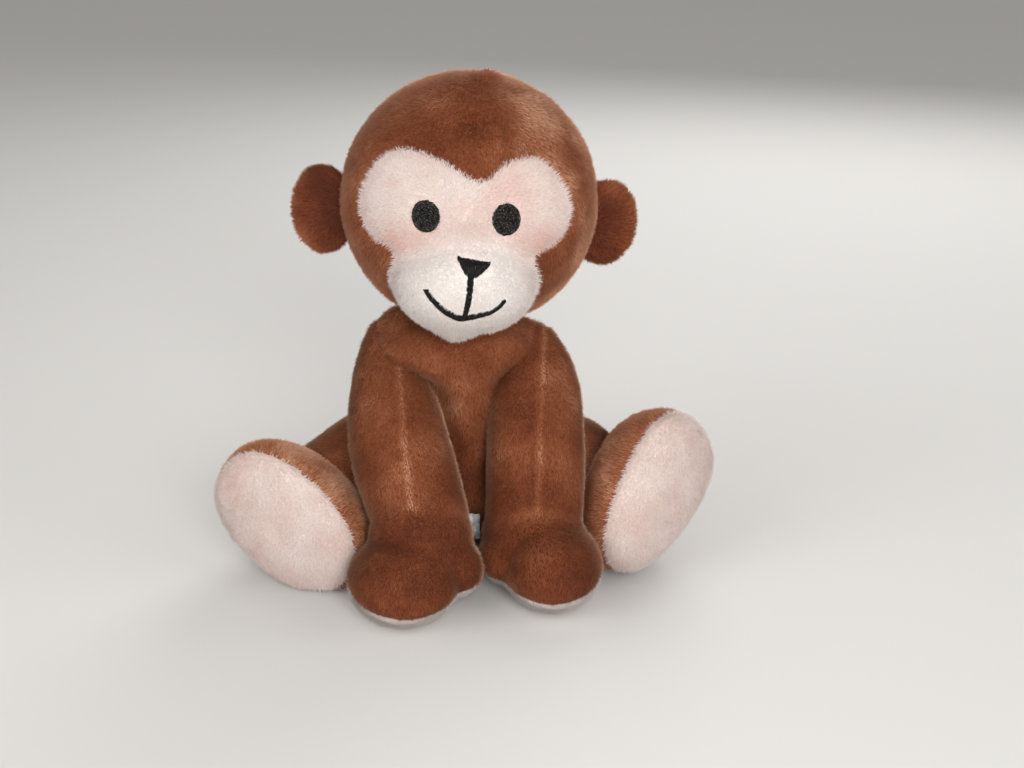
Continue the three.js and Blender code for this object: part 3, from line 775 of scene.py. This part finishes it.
pileFinish = {
    # polyester velour, sheared short: matt, with painted shade darkening the fibres' roots, paler where the
    # nap catches light
    "brown": pileMaterial(
        "brown_velour_pile",
        [(0.0, "#592813"), (0.35, "#804325"), (0.65, "#9d6040"), (1.0, "#cf9c7d")],
        [(0.0, "#c4b8b0"), (0.55, "#eae4e0"), (1.0, "#ffffff")],
        {"Roughness": 0.85, "Specular IOR Level": 0.25, "Sheen Weight": 0.6, "Sheen Roughness": 0.4,
         "Sheen Tint": linear("#d9a98c")}),
    # polyester minky, brushed long: soft white, with painted shade, greyer and a little pink, deep in the
    # pile at the fibres' roots
    "pale": pileMaterial(
        "pale_minky_pile",
        [(0.0, "#d9b2a8"), (0.4, "#e2cec7"), (0.7, "#e7ddd8"), (1.0, "#ebe8e4")],
        [(0.0, "#e6dcd7"), (0.5, "#f7f3f1"), (1.0, "#ffffff")],
        {"Roughness": 0.9, "Specular IOR Level": 0.2, "Sheen Weight": 0.25, "Sheen Roughness": 0.5,
         "Sheen Tint": linear("#fff4ee")}),
}
groundFinish = {
    "brown": knitMaterial("brown_velour_ground", ("#4a2310", "#764126", "#8f573a", "#b98363")),
    "pale": knitMaterial("pale_minky_ground", ("#c9988c", "#d6bfb5", "#e9dad3", "#ece4df")),
}
# trilobal polyester embroidery thread: black, with fine glints painted in as grey specks, fewer and dimmer
# painted glints in the long satin stitches
fillThread, satinThread = [
    patternMaterial(name, "ShaderNodeTexNoise", {"Scale": 1 / (0.35 * mm), "Detail": 2.0}, (0.5, 0.08),
                    [(0.4, "#060505"), (0.56, "#12100f"), (0.66, paintedGlint)],
                    {"Roughness": 0.65, "Specular IOR Level": 0.15})
    for name, paintedGlint in (("black_fill_stitch_thread", "#6a645f"), ("black_satin_stitch_thread", "#35312e"))]
# spun polyester sewing thread: matt, lightly twisted
brownThread = patternMaterial(
    "brown_sewing_thread", "ShaderNodeTexNoise", {"Scale": 1 / (0.5 * mm), "Detail": 1.0}, (0.4, 0.1),
    [(0.3, "#4d2816"), (0.7, "#7a4a33")], {"Roughness": 0.7})
# woven satin label: white with a soft silky gloss and fine ribs 0.5 mm apart
whiteSatin = patternMaterial(
    "white_satin_label", "ShaderNodeTexWave", {"Scale": 0.314 / (0.5 * mm), "Distortion": 1.0}, (0.3, 0.05),
    [(0.0, "#d6d6d6"), (0.6, "#f2f2f1")], {"Roughness": 0.4, "Sheen Weight": 0.2}, bands_direction="Z")
# hollow polyester fibre: soft white, in small tangled lumps
whiteFibre = patternMaterial(
    "white_fibre_filling", "ShaderNodeTexNoise", {"Scale": 1 / (3 * mm), "Detail": 4.0}, (0.6, 1),
    [(0.3, "#d8d7d4"), (0.7, "#f2f1ee")], {"Roughness": 1.0, "Sheen Weight": 0.3})
print("materials made")


def setMaterial(piece, material):
    piece.data.materials.clear()
    piece.data.materials.append(material)


def finishPiece(piece, material, body, node):
    piece.data.shade_smooth()
    setMaterial(piece, material)
    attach(piece, body)
    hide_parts(node)


# Cloth: each panel gets its pile and then the thickness of its ground
plush = {"thickness": 1.2, "seed": 20, "seedStep": 10}
covers = []


# the pieces are named for the node that the panel replaces
def sew(body, node, colour, cut, comb, material=None, **dressing):
    name = node.removesuffix("_panel")
    panel = cutPanel(parts[body], name + "_cover", cut, material)
    dressPanel(panel, colour, comb, **dressing)
    pile = growPile(panel, name + "_pile", piles[colour], plush["seed"] + plush["seedStep"] * len(covers))
    for key in ("long", "keep", "comb"):
        panel.data.attributes.remove(panel.data.attributes[key])
    solid = panel.modifiers.new("thickness", "SOLIDIFY")
    solid.thickness = plush["thickness"] * mm
    solid.offset = -1
    applyModifiers(panel)
    setMaterial(panel, groundFinish[colour])
    setMaterial(pile, pileFinish[colour])
    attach(panel, body)
    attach(pile, body)
    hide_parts(node)
    covers.append(panel)
    print("sewn", name, len(pile.data.polygons), "pile faces")


# painted shade: the belly darker between the arms and under the head, where shade falls
def bellyPaintedShade(co):
    height = (co[:, 2] / mm - torso["bellyAt"]) / torso["bellyReach"]
    return torso["bellyPaintedShade"] * np.exp(-height ** 2)


backSide = parts["torso"]["seam"]
besideBody = ["head"] + [side + suffix for side in sides for suffix in ("_arm", "_leg")]
sew("torso", "body_front_panel", "brown", flip(backSide), torso["nap"], neighbours=besideBody, tint=bellyPaintedShade)
sew("torso", "body_back_panel", "brown", backSide, torso["nap"], neighbours=besideBody)

# Nap and tones of the head: the nap runs down from the crown and out from the face's middle
crownTop = np.array(headMiddle + at(4, -6, 42))
crownFall = np.array([0, 0.004, -0.01])
faceCentre = np.array(headMiddle + at(0, -36, -8))
faceFall = np.array([0, 0, -0.012])
# each soft spot is its middle and reach in mm, seen from the front, and its tint
# the head's spots are painted shade and light: darker by the crease of the crown seam, lighter on the crown
# and head at +x, the side the light falls on
headPaintedSpots = (((5, 26, 14, 12), -0.18), ((22, 28, 12, 12), 0.32), ((36, 0, 9, 16), 0.16))
faceTones = {"all": 0.02, "muzzle": (-1, -21, 22, 17), "muzzleWhiteAndLight": 0.48, "middle": 1,
             "foldSpot": (21, -5, 8, 6), "foldShadeTint": -0.34, "chin": (-36, 7), "chinTint": -0.2,
             "spots": (((1, 3, 9, 8), -0.1), ((12, 11, 10, 9), -0.2))}


def fromHead(co):
    return (co[:, 0] - headMiddle.x) / mm, (co[:, 2] - headMiddle.z) / mm


def softSpot(x, z, spot):
    return np.exp(-((x - spot[0]) / spot[2]) ** 2 - ((z - spot[1]) / spot[3]) ** 2)


def headNap(co):
    return (co - crownTop) + crownFall


def headPaintedShading(co):
    x, z = fromHead(co)
    return sum(tint * softSpot(x, z, spot) for spot, tint in headPaintedSpots)


def faceNap(co):
    return (co - faceCentre) + faceFall


# a white muzzle with an even dome, its whiteness partly painted light that lifts its shaded left side, and
# pink painted shade in the fold above it on each side
def faceTint(co):
    x, z = fromHead(co)
    midX, midZ, wide, tall = faceTones["muzzle"]
    whiterAndLit = np.exp(-(((x - midX) / wide) ** 2 + ((z - midZ) / tall) ** 2) ** 3)
    foldShading = softSpot(np.abs(x - faceTones["middle"]), z, faceTones["foldSpot"]) * (1 - whiterAndLit)
    tint = faceTones["all"] + faceTones["muzzleWhiteAndLight"] * whiterAndLit + faceTones["foldShadeTint"] * foldShading
    for spot, amount in faceTones["spots"]:
        tint = tint + amount * softSpot(x, z, spot)
    chinAt, chinReach = faceTones["chin"]
    return tint + faceTones["chinTint"] * np.exp(-((z - chinAt) / chinReach) ** 2)


# no pile under the embroidery, and shorter pile beside it
stitched = []
trim = {"under": -0.3, "shortest": 0.35, "reach": 2.6}


def faceBare(co):
    bare, short = np.ones(len(co)), np.ones(len(co))
    for spots, reach in stitched:
        gap = np.linalg.norm(co[:, None, [0, 2]] - spots[None], axis=2).min(1) - reach
        bare *= gap > trim["under"] * mm
        short *= np.clip(trim["shortest"] + gap / (trim["reach"] * mm), trim["shortest"], 1)
    return bare, short


# Embroidery, each stitch a short arch of thread laid on the face
thread = {"radius": 0.2, "lift": 0.95, "root": -0.2, "liftStray": 0.04, "steep": 2.2, "round": 0.7}
rayFrom = -0.2  # metres, well before the face and the belly
faceTree = parts["head"]["tree"]
rng = np.random.default_rng(5)


def newThread(name, radius):
    curve = bpy.data.curves.new(name, "CURVE")
    curve.dimensions = "3D"
    curve.bevel_depth = radius * mm
    curve.bevel_resolution = 1
    curve.use_fill_caps = True
    return curve


def addStitch(curve, a, b, lift, root, steps=4):
    spline = curve.splines.new("POLY")
    spline.points.add(steps)
    for i in range(steps + 1):
        share = i / steps
        x, z = a[0] + (b[0] - a[0]) * share, a[1] + (b[1] - a[1]) * share
        spot, normal, _, _ = faceTree.ray_cast(Vector((x, rayFrom, z)), yAxis)
        arch = min(1, thread["steep"] * math.sin(math.pi * share) ** thread["round"])
        spline.points[i].co = (*(spot + normal * (root + (lift - root) * arch) * mm), 1)


def threadPiece(curve, name, node, material, body):
    holder = addObject(name, curve)
    mesh = bpy.data.meshes.new_from_object(holder.evaluated_get(bpy.context.evaluated_depsgraph_get()))
    bpy.data.objects.remove(holder)
    bpy.data.curves.remove(curve)
    finishPiece(addObject(name, mesh), material, body, node)


# rows of short fill stitches, stray stitches over them and a slanted ring round the edge
eye = {"drop": {"left": 1.0, "right": 0.0}, "share": (0.91, 0.98), "fill": 0.8, "row": 0.28, "stitch": 1.3,
       "shortest": 0.3, "rowStray": 0.1, "fillLift": -0.3, "fillStray": 0.05, "fillRoot": 0.3, "strays": 70,
       "strayOut": 0.72, "strayHalf": 0.3, "strayLift": 0.05, "strayRoot": 0.5, "ringIn": 0.74,
       "ringStitches": 86, "ringLift": 0.2, "slant": 0.16, "ragged": 0.025, "bareRings": (0.35, 0.85),
       "clear": 0.9}
for side in sides:
    low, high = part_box(side + "_eye")
    cx, cz = (low.x + high.x) / 2, (low.z + high.z) / 2 - eye["drop"][side] * mm
    halfW, halfH = (high.x - low.x) / 2 * eye["share"][0], (high.z - low.z) / 2 * eye["share"][1]
    curve = newThread(side + "_eye_thread", thread["radius"])

    def onEye(out, angle):
        return np.array([cx + halfW * out * math.cos(angle), cz + halfH * out * math.sin(angle)])

    rows = int(2 * halfH * eye["fill"] / (eye["row"] * mm))
    for row in range(rows + 1):
        dz = (row / rows * 2 - 1) * eye["fill"]
        reach = math.sqrt(max(0, eye["fill"] ** 2 - dz ** 2)) * halfW
        rowZ = cz + dz * halfH
        spot = -reach - rng.uniform(0, 1) * eye["stitch"] * mm
        while spot < reach:
            start, stop = max(spot, -reach), min(spot + eye["stitch"] * mm, reach)
            if stop - start > eye["shortest"] * mm:
                stopZ = rowZ + rng.normal(0, eye["rowStray"]) * mm
                lift = thread["lift"] + eye["fillLift"] + rng.normal(0, eye["fillStray"])
                addStitch(curve, (cx + start, rowZ), (cx + stop, stopZ), lift, eye["fillRoot"])
            spot += eye["stitch"] * mm
    for _ in range(eye["strays"]):
        angle = rng.uniform(0, 2 * math.pi)
        out = eye["strayOut"] * math.sqrt(rng.uniform(0, 1))
        turned = rng.uniform(0, math.pi)
        spot = onEye(out, angle)
        half = eye["strayHalf"] * mm * np.array([math.cos(turned), math.sin(turned)])
        addStitch(curve, spot - half, spot + half, thread["lift"] + eye["strayLift"], eye["strayRoot"], 3)
    for i in range(eye["ringStitches"]):
        angle = 2 * math.pi * i / eye["ringStitches"]
        rim = 1 + rng.normal(0, eye["ragged"])
        lift = thread["lift"] + eye["ringLift"] + rng.normal(0, thread["liftStray"])
        addStitch(curve, onEye(rim, angle), onEye(eye["ringIn"], angle + eye["slant"]), lift, thread["root"])
    threadPiece(curve, side + "_eye_stitches", side + "_eye", fillThread, "head")
    ring = np.linspace(0, 2 * math.pi, 24, endpoint=False)
    spots = [onEye(out, angle) for angle in ring for out in eye["bareRings"]]
    stitched.append((np.array(spots), eye["clear"] * mm))

# upright satin stitches between a slanted top edge and a bowed point, corners in mm from the nose's middle
nose = {"corners": ((-4.4, 2.3), (5.1, 0.4), (0, -2.9)), "bulge": (1.1, 0.5), "stitches": 38, "topBow": 0.4,
        "topStray": 0.35, "lowStray": (0.2, 0.5), "sideStray": 0.05, "lift": 0.2, "clear": 0.1}
low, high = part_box("nose")
noseX, noseZ = (low.x + high.x) / 2, (low.z + high.z) / 2
corners = [np.array([noseX + x * mm, noseZ + z * mm]) for x, z in nose["corners"]]
curve = newThread("nose_thread", thread["radius"])
bow = (corners[2][0] - corners[0][0]) / (corners[1][0] - corners[0][0])
noseSpots = []
for i in range(nose["stitches"]):
    share = (i + 0.5) / nose["stitches"]
    half = 0 if share < bow else 1
    reach = share / bow if share < bow else (1 - share) / (1 - bow)
    top = corners[0] + (corners[1] - corners[0]) * share
    top = top + [0, (nose["topBow"] * math.sin(math.pi * share) + rng.uniform(0, nose["topStray"])) * mm]
    tip = corners[half] + (corners[2] - corners[half]) * reach
    tip = tip - [0, (nose["bulge"][half] * math.sin(math.pi * reach) + rng.uniform(*nose["lowStray"])) * mm]
    addStitch(curve, top, (tip[0] + rng.normal(0, nose["sideStray"]) * mm, tip[1]),
              thread["lift"] + nose["lift"], thread["root"])
    noseSpots += [top, tip, (top + tip) / 2]
threadPiece(curve, "nose_stitches", "nose", satinThread, "head")
stitched.append((np.array(noseSpots), nose["clear"] * mm))

# smile and the line up to the nose, columns of slanted satin stitches, mm from the head's middle
mouth = {"smile": ((-12.1, -17.7), (-9.4, -21), (-5.6, -24.2), (-1.9, -25.9), (0.3, -25.7), (4, -25.1),
                   (7.4, -24.2), (9.9, -22.7), (11.6, -21)),
         "smileWidths": (1.1, 1.5, 1.8, 1.8, 1.3, 1.0, 0.8, 0.6),
         "line": ((1.5, -13.4), (1.1, -18), (0.5, -21.8), (-0.4, -25.3)), "lineWidths": (2.0, 1.8, 1.7, 1.5),
         "step": 0.27, "samples": 33, "look": 0.4, "ragged": (0.8, 1.2), "lean": 0.3, "lift": 0.15,
         "clear": 0.55}


def satinColumn(curve, points, widths):
    path = np.array([[widthAlong([p[k] for p in points], share) for k in (0, 1)]
                     for share in np.linspace(0, 1, mouth["samples"])]) * mm + [headMiddle.x, headMiddle.z]
    lengths = np.concatenate([[0], np.cumsum(np.linalg.norm(np.diff(path, axis=0), axis=1))])
    count = int(lengths[-1] / (mouth["step"] * mm))
    for i in range(count + 1):
        reach = lengths[-1] * i / count
        spot, ahead, behind = [np.array([np.interp(reach + shift, lengths, path[:, k]) for k in (0, 1)])
                               for shift in (0, mouth["look"] * mm, -mouth["look"] * mm)]
        way = unit(ahead - behind)
        width = np.interp(reach / lengths[-1], np.linspace(0, 1, len(widths)), widths) * mm
        across = np.array([-way[1], way[0]]) * width / 2 * rng.uniform(*mouth["ragged"])
        lean = way * mouth["lean"] * mm
        lift = thread["lift"] + mouth["lift"] + rng.normal(0, thread["liftStray"])
        addStitch(curve, spot + across + lean, spot - across - lean, lift, thread["root"], 3)
    stitched.append((path, mouth["clear"] * mm))


curve = newThread("mouth_thread", thread["radius"])
satinColumn(curve, mouth["smile"], mouth["smileWidths"])
satinColumn(curve, mouth["line"], mouth["lineWidths"])
threadPiece(curve, "mouth_stitches", "mouth", satinThread, "head")
print("embroidery laid")

crownSeam = parts["head"]["seam"]
for node, cut in (("head_left_panel", crownSeam), ("head_right_panel", flip(crownSeam))):
    sew("head", node, "brown", cut, headNap, 0, neighbours=["torso"], tint=headPaintedShading)
sew("head", "face_panel", "pale", None, faceNap, 1, neighbours=["torso"], tint=faceTint, bareAt=faceBare,
    fringe=face["fringe"])


def sewArm(side, sign):
    seam = parts[side + "_arm"]["seam"]
    outer = seam if sign > 0 else flip(seam)
    reach = jointAt[side + "_wrist"] - jointAt[side + "_shoulder"]
    cuffAt = np.array(jointAt[side + "_wrist"] + arm[side]["sway"])
    for layer, cut in (("outer", outer), ("inner", flip(outer))):
        # painted shade: each arm darker towards its cuff, whose upturned end faces the light, and the left
        # arm's inner side darker, as it lies in shade
        def armTintAndShade(co):
            near = np.linalg.norm(co - cuffAt, axis=1) / (arm["cuffReach"] * mm)
            return arm[side][layer + "Tint"] + arm["cuffShade"] * np.exp(-near ** 4)

        sew(side + "_arm", side + "_arm_" + layer + "_panel", "brown", cut, reach,
            neighbours=["torso", side + "_hand"], seamTint=arm["seamTint"], parting=arm["parting"],
            joinedTo=[side + "_hand"], tint=armTintAndShade)


def sewHand(side):
    part = parts[side + "_hand"]
    palmSeam = part["seam"]
    cuffAt = np.array(jointAt[side + "_wrist"] + arm[side]["sway"])

    # painted light and shade: the back of the hand lighter by the wrist, where its top lies in shade, and
    # darker towards the front
    def handTintAndShading(co):
        ahead = (cuffAt[1] - co[:, 1]) / (hand[side]["forward"] * mm)
        return hand[side]["tint"] + hand["tipPaintedShading"] * np.clip(ahead, 0, 1)

    sew(side + "_hand", side + "_hand_back", "brown", palmSeam, hand["nap"], neighbours=[side + "_arm"],
        joinedTo=[side + "_arm"], parting=hand["parting"], tint=handTintAndShading)
    # painted light: the palm made paler where its band faces down, away from the light
    sew(side + "_hand", side + "_palm", "pale", flip(palmSeam), lambda co: co - np.array(part["middle"]),
        fringe=hand["palmFringe"], tint=hand["palmTint"])


def sewLeg(side, sign):
    hip, ankle = jointAt[side + "_hip"], jointAt[side + "_ankle"]
    out = (ankle - hip).normalized()
    outer = (hip, zAxis.cross(out) * sign)
    for layer, cut in (("outer", outer), ("inner", flip(outer))):
        sew(side + "_leg", side + "_leg_" + layer + "_panel", "brown", cut, out,
            neighbours=["torso", side + "_foot"])


def sewFoot(side):
    part = parts[side + "_foot"]
    soleSeam = part["seam"]
    sew(side + "_foot", side + "_sole", "pale", soleSeam, foot["soleNap"], fringe=foot["soleFringe"])
    sew(side + "_foot", side + "_foot_upper", "brown", flip(soleSeam),
        np.array(-part["facing"]) + foot["upperFall"], neighbours=[side + "_leg"], tint=foot[side]["tint"])


# painted shade and light: dark at the root, deep in the cup by the head, and lighter towards the rim, which
# catches the light
def sewEar(side):
    root = np.array(jointAt[side + "_ear_bend"])
    back = parts[side + "_ear"]["seam"]

    def earPaintedShading(co):
        out = np.linalg.norm(co - root, axis=1) / (ear["tipAt"] * mm)
        return ear[side]["tint"] + ear["tipPaintedShading"] * out ** 2

    for layer, cut in (("_ear_front", flip(back)), ("_ear_back", back)):
        sew(side + "_ear", side + layer, "brown", cut, lambda co: co - root, neighbours=["head"], parting=0.0,
            tint=earPaintedShading)


for side, sign in sides.items():
    sewArm(side, sign)
    sewHand(side)
    sewLeg(side, sign)
    sewFoot(side)
    sewEar(side)

# Filling: the stuffed inside of each cover
filling = {"gap": 1.9, "voxel": 3.0, "rounds": 3}
filled = {"torso": "body_filling", "head": "head_filling"}
for side in sides:
    for key in ("_arm", "_hand", "_leg", "_foot"):
        filled[side + key] = side + key + "_filling"
for name, node in filled.items():
    bm = loadMesh(parts[name]["base"])
    bm.normal_update()
    for v in bm.verts:
        v.co -= v.normal * filling["gap"] * mm
    piece = skinOver(node + "_fibre", bm, filling["voxel"], filling["rounds"])
    finishPiece(piece, whiteFibre, name, node)
print("filled:", len(filled))

# Neck: hand stitches that hold the head to the body, each a slanted arch
neck = {"radius": 15.4, "rise": 6.9, "stitches": 26, "thread": 0.45, "steps": 4, "span": 0.86, "swell": 0.6,
        "slant": 1.6}
curve = newThread("neck_thread", neck["thread"])
for i in range(neck["stitches"]):
    spline = curve.splines.new("POLY")
    spline.points.add(neck["steps"])
    for k in range(neck["steps"] + 1):
        share = k / neck["steps"]
        angle = 2 * math.pi * (i + neck["span"] * share) / neck["stitches"]
        swell = neck["radius"] + neck["swell"] * math.sin(math.pi * share)
        height = neck["rise"] + (share - 0.5) * neck["slant"]
        spot = jointAt["head_turn"] + at(swell * math.cos(angle), swell * math.sin(angle), height)
        spline.points[k].co = (*spot, 1)
threadPiece(curve, "neck_stitches", "neck_stitching", brownThread, "neck")

# Label: a blank satin tag hanging from the body's front, crumpled
label = {"width": 10, "length": 13, "thickness": 0.25, "x": -0.9, "low": 6.6, "wrinkle": 1.3, "steps": 24,
         "span": (7.6, 10.6), "clear": 2, "swing": 3, "folds": 1.1, "ripples": 0.35, "loose": 0.9,
         "held": 0.5}
bodyTree = parts["torso"]["tree"]
bm = bmesh.new()
bmesh.ops.create_grid(bm, x_segments=label["steps"], y_segments=label["steps"], size=0.5)
for v in bm.verts:
    u, w = v.co.x, v.co.y
    spot = at(label["x"] + u * label["span"][0], 0, label["low"] + (w + 0.5) * label["span"][1])
    body = bodyTree.ray_cast(Vector((spot.x, rayFrom, spot.z)), yAxis)[0]
    # folds slant across the tag, ripples cross them
    fold = abs(math.sin(9 * u + 4 * w)) * label["folds"] + math.sin(13 * w - 8 * u) * label["ripples"]
    crumple = label["wrinkle"] * fold * (label["loose"] - label["held"] * w)
    spot.y = body.y - (label["clear"] + (0.5 - w) * label["swing"] + crumple) * mm
    v.co = spot
bmesh.ops.recalc_face_normals(bm, faces=bm.faces[:])
bmesh.ops.solidify(bm, geom=bm.faces[:], thickness=label["thickness"] * mm)
labelPiece = toObject(bm, "label_tag")
finishPiece(labelPiece, whiteSatin, "torso", "care_label")
print("neck and label made")

for part in parts.values():
    bpy.data.objects.remove(part["base"])
bpy.data.objects.remove(fibre)

# Floor, light and camera, in metres and watts
studio = {"floor": "#d2d0cd", "floorSize": 40.0, "glow": "#f4f2ef", "glowStrength": 0.5,
          "aim": (0, -0.02, 0.08)}
bm = bmesh.new()
bmesh.ops.create_grid(bm, x_segments=1, y_segments=1, size=studio["floorSize"])
floor = toObject(bm, "floor")
floorMaterial, tree = newMaterial("pale_floor")
addShader(tree, {"Base Color": linear(studio["floor"]), "Roughness": 0.9})
setMaterial(floor, floorMaterial)

world = bpy.data.worlds.new("studio")
world.use_nodes = True
world.node_tree.nodes.clear()
glow = addNode(world.node_tree, "ShaderNodeBackground",
               {"Color": linear(studio["glow"]), "Strength": studio["glowStrength"]})
addNode(world.node_tree, "ShaderNodeOutputWorld", {"Surface": glow})
scene.world = world

# the key's narrow spread keeps it off the floor beside it
lamps = {"key": {"power": 0.95, "size": 0.35, "at": (0.16, -0.8, 0.34), "spread": 70},
         "fill": {"power": 2.9, "size": 0.6, "at": (-0.6, -0.5, 0.45), "spread": 180},
         "side": {"power": 1.6, "size": 0.6, "at": (0.75, -0.3, 0.45), "spread": 180},
         "back": {"power": 4.0, "size": 0.6, "at": (0.3, 0.7, 0.6), "spread": 180}}
for name, setting in lamps.items():
    lamp = bpy.data.lights.new(name, "AREA")
    lamp.energy = setting["power"]
    lamp.size = setting["size"]
    lamp.spread = math.radians(setting["spread"])
    holder = addObject(name, lamp)
    holder.location = setting["at"]
    towards = Vector(studio["aim"]) - Vector(setting["at"])
    holder.rotation_euler = towards.to_track_quat("-Z", "Y").to_euler()

# focal length in pixels of the 1024 wide picture
view = {"focal": 1557, "picture": 1024, "sensor": 36, "at": at(14, -523.5, 235), "down": 19.3}
camera = bpy.data.cameras.new("camera")
camera.sensor_width = view["sensor"]
camera.lens = view["sensor"] * view["focal"] / view["picture"]
eyePoint = addObject("camera", camera)
eyePoint.location = view["at"]
eyePoint.rotation_euler = (math.radians(90 - view["down"]), 0, 0)
scene.camera = eyePoint
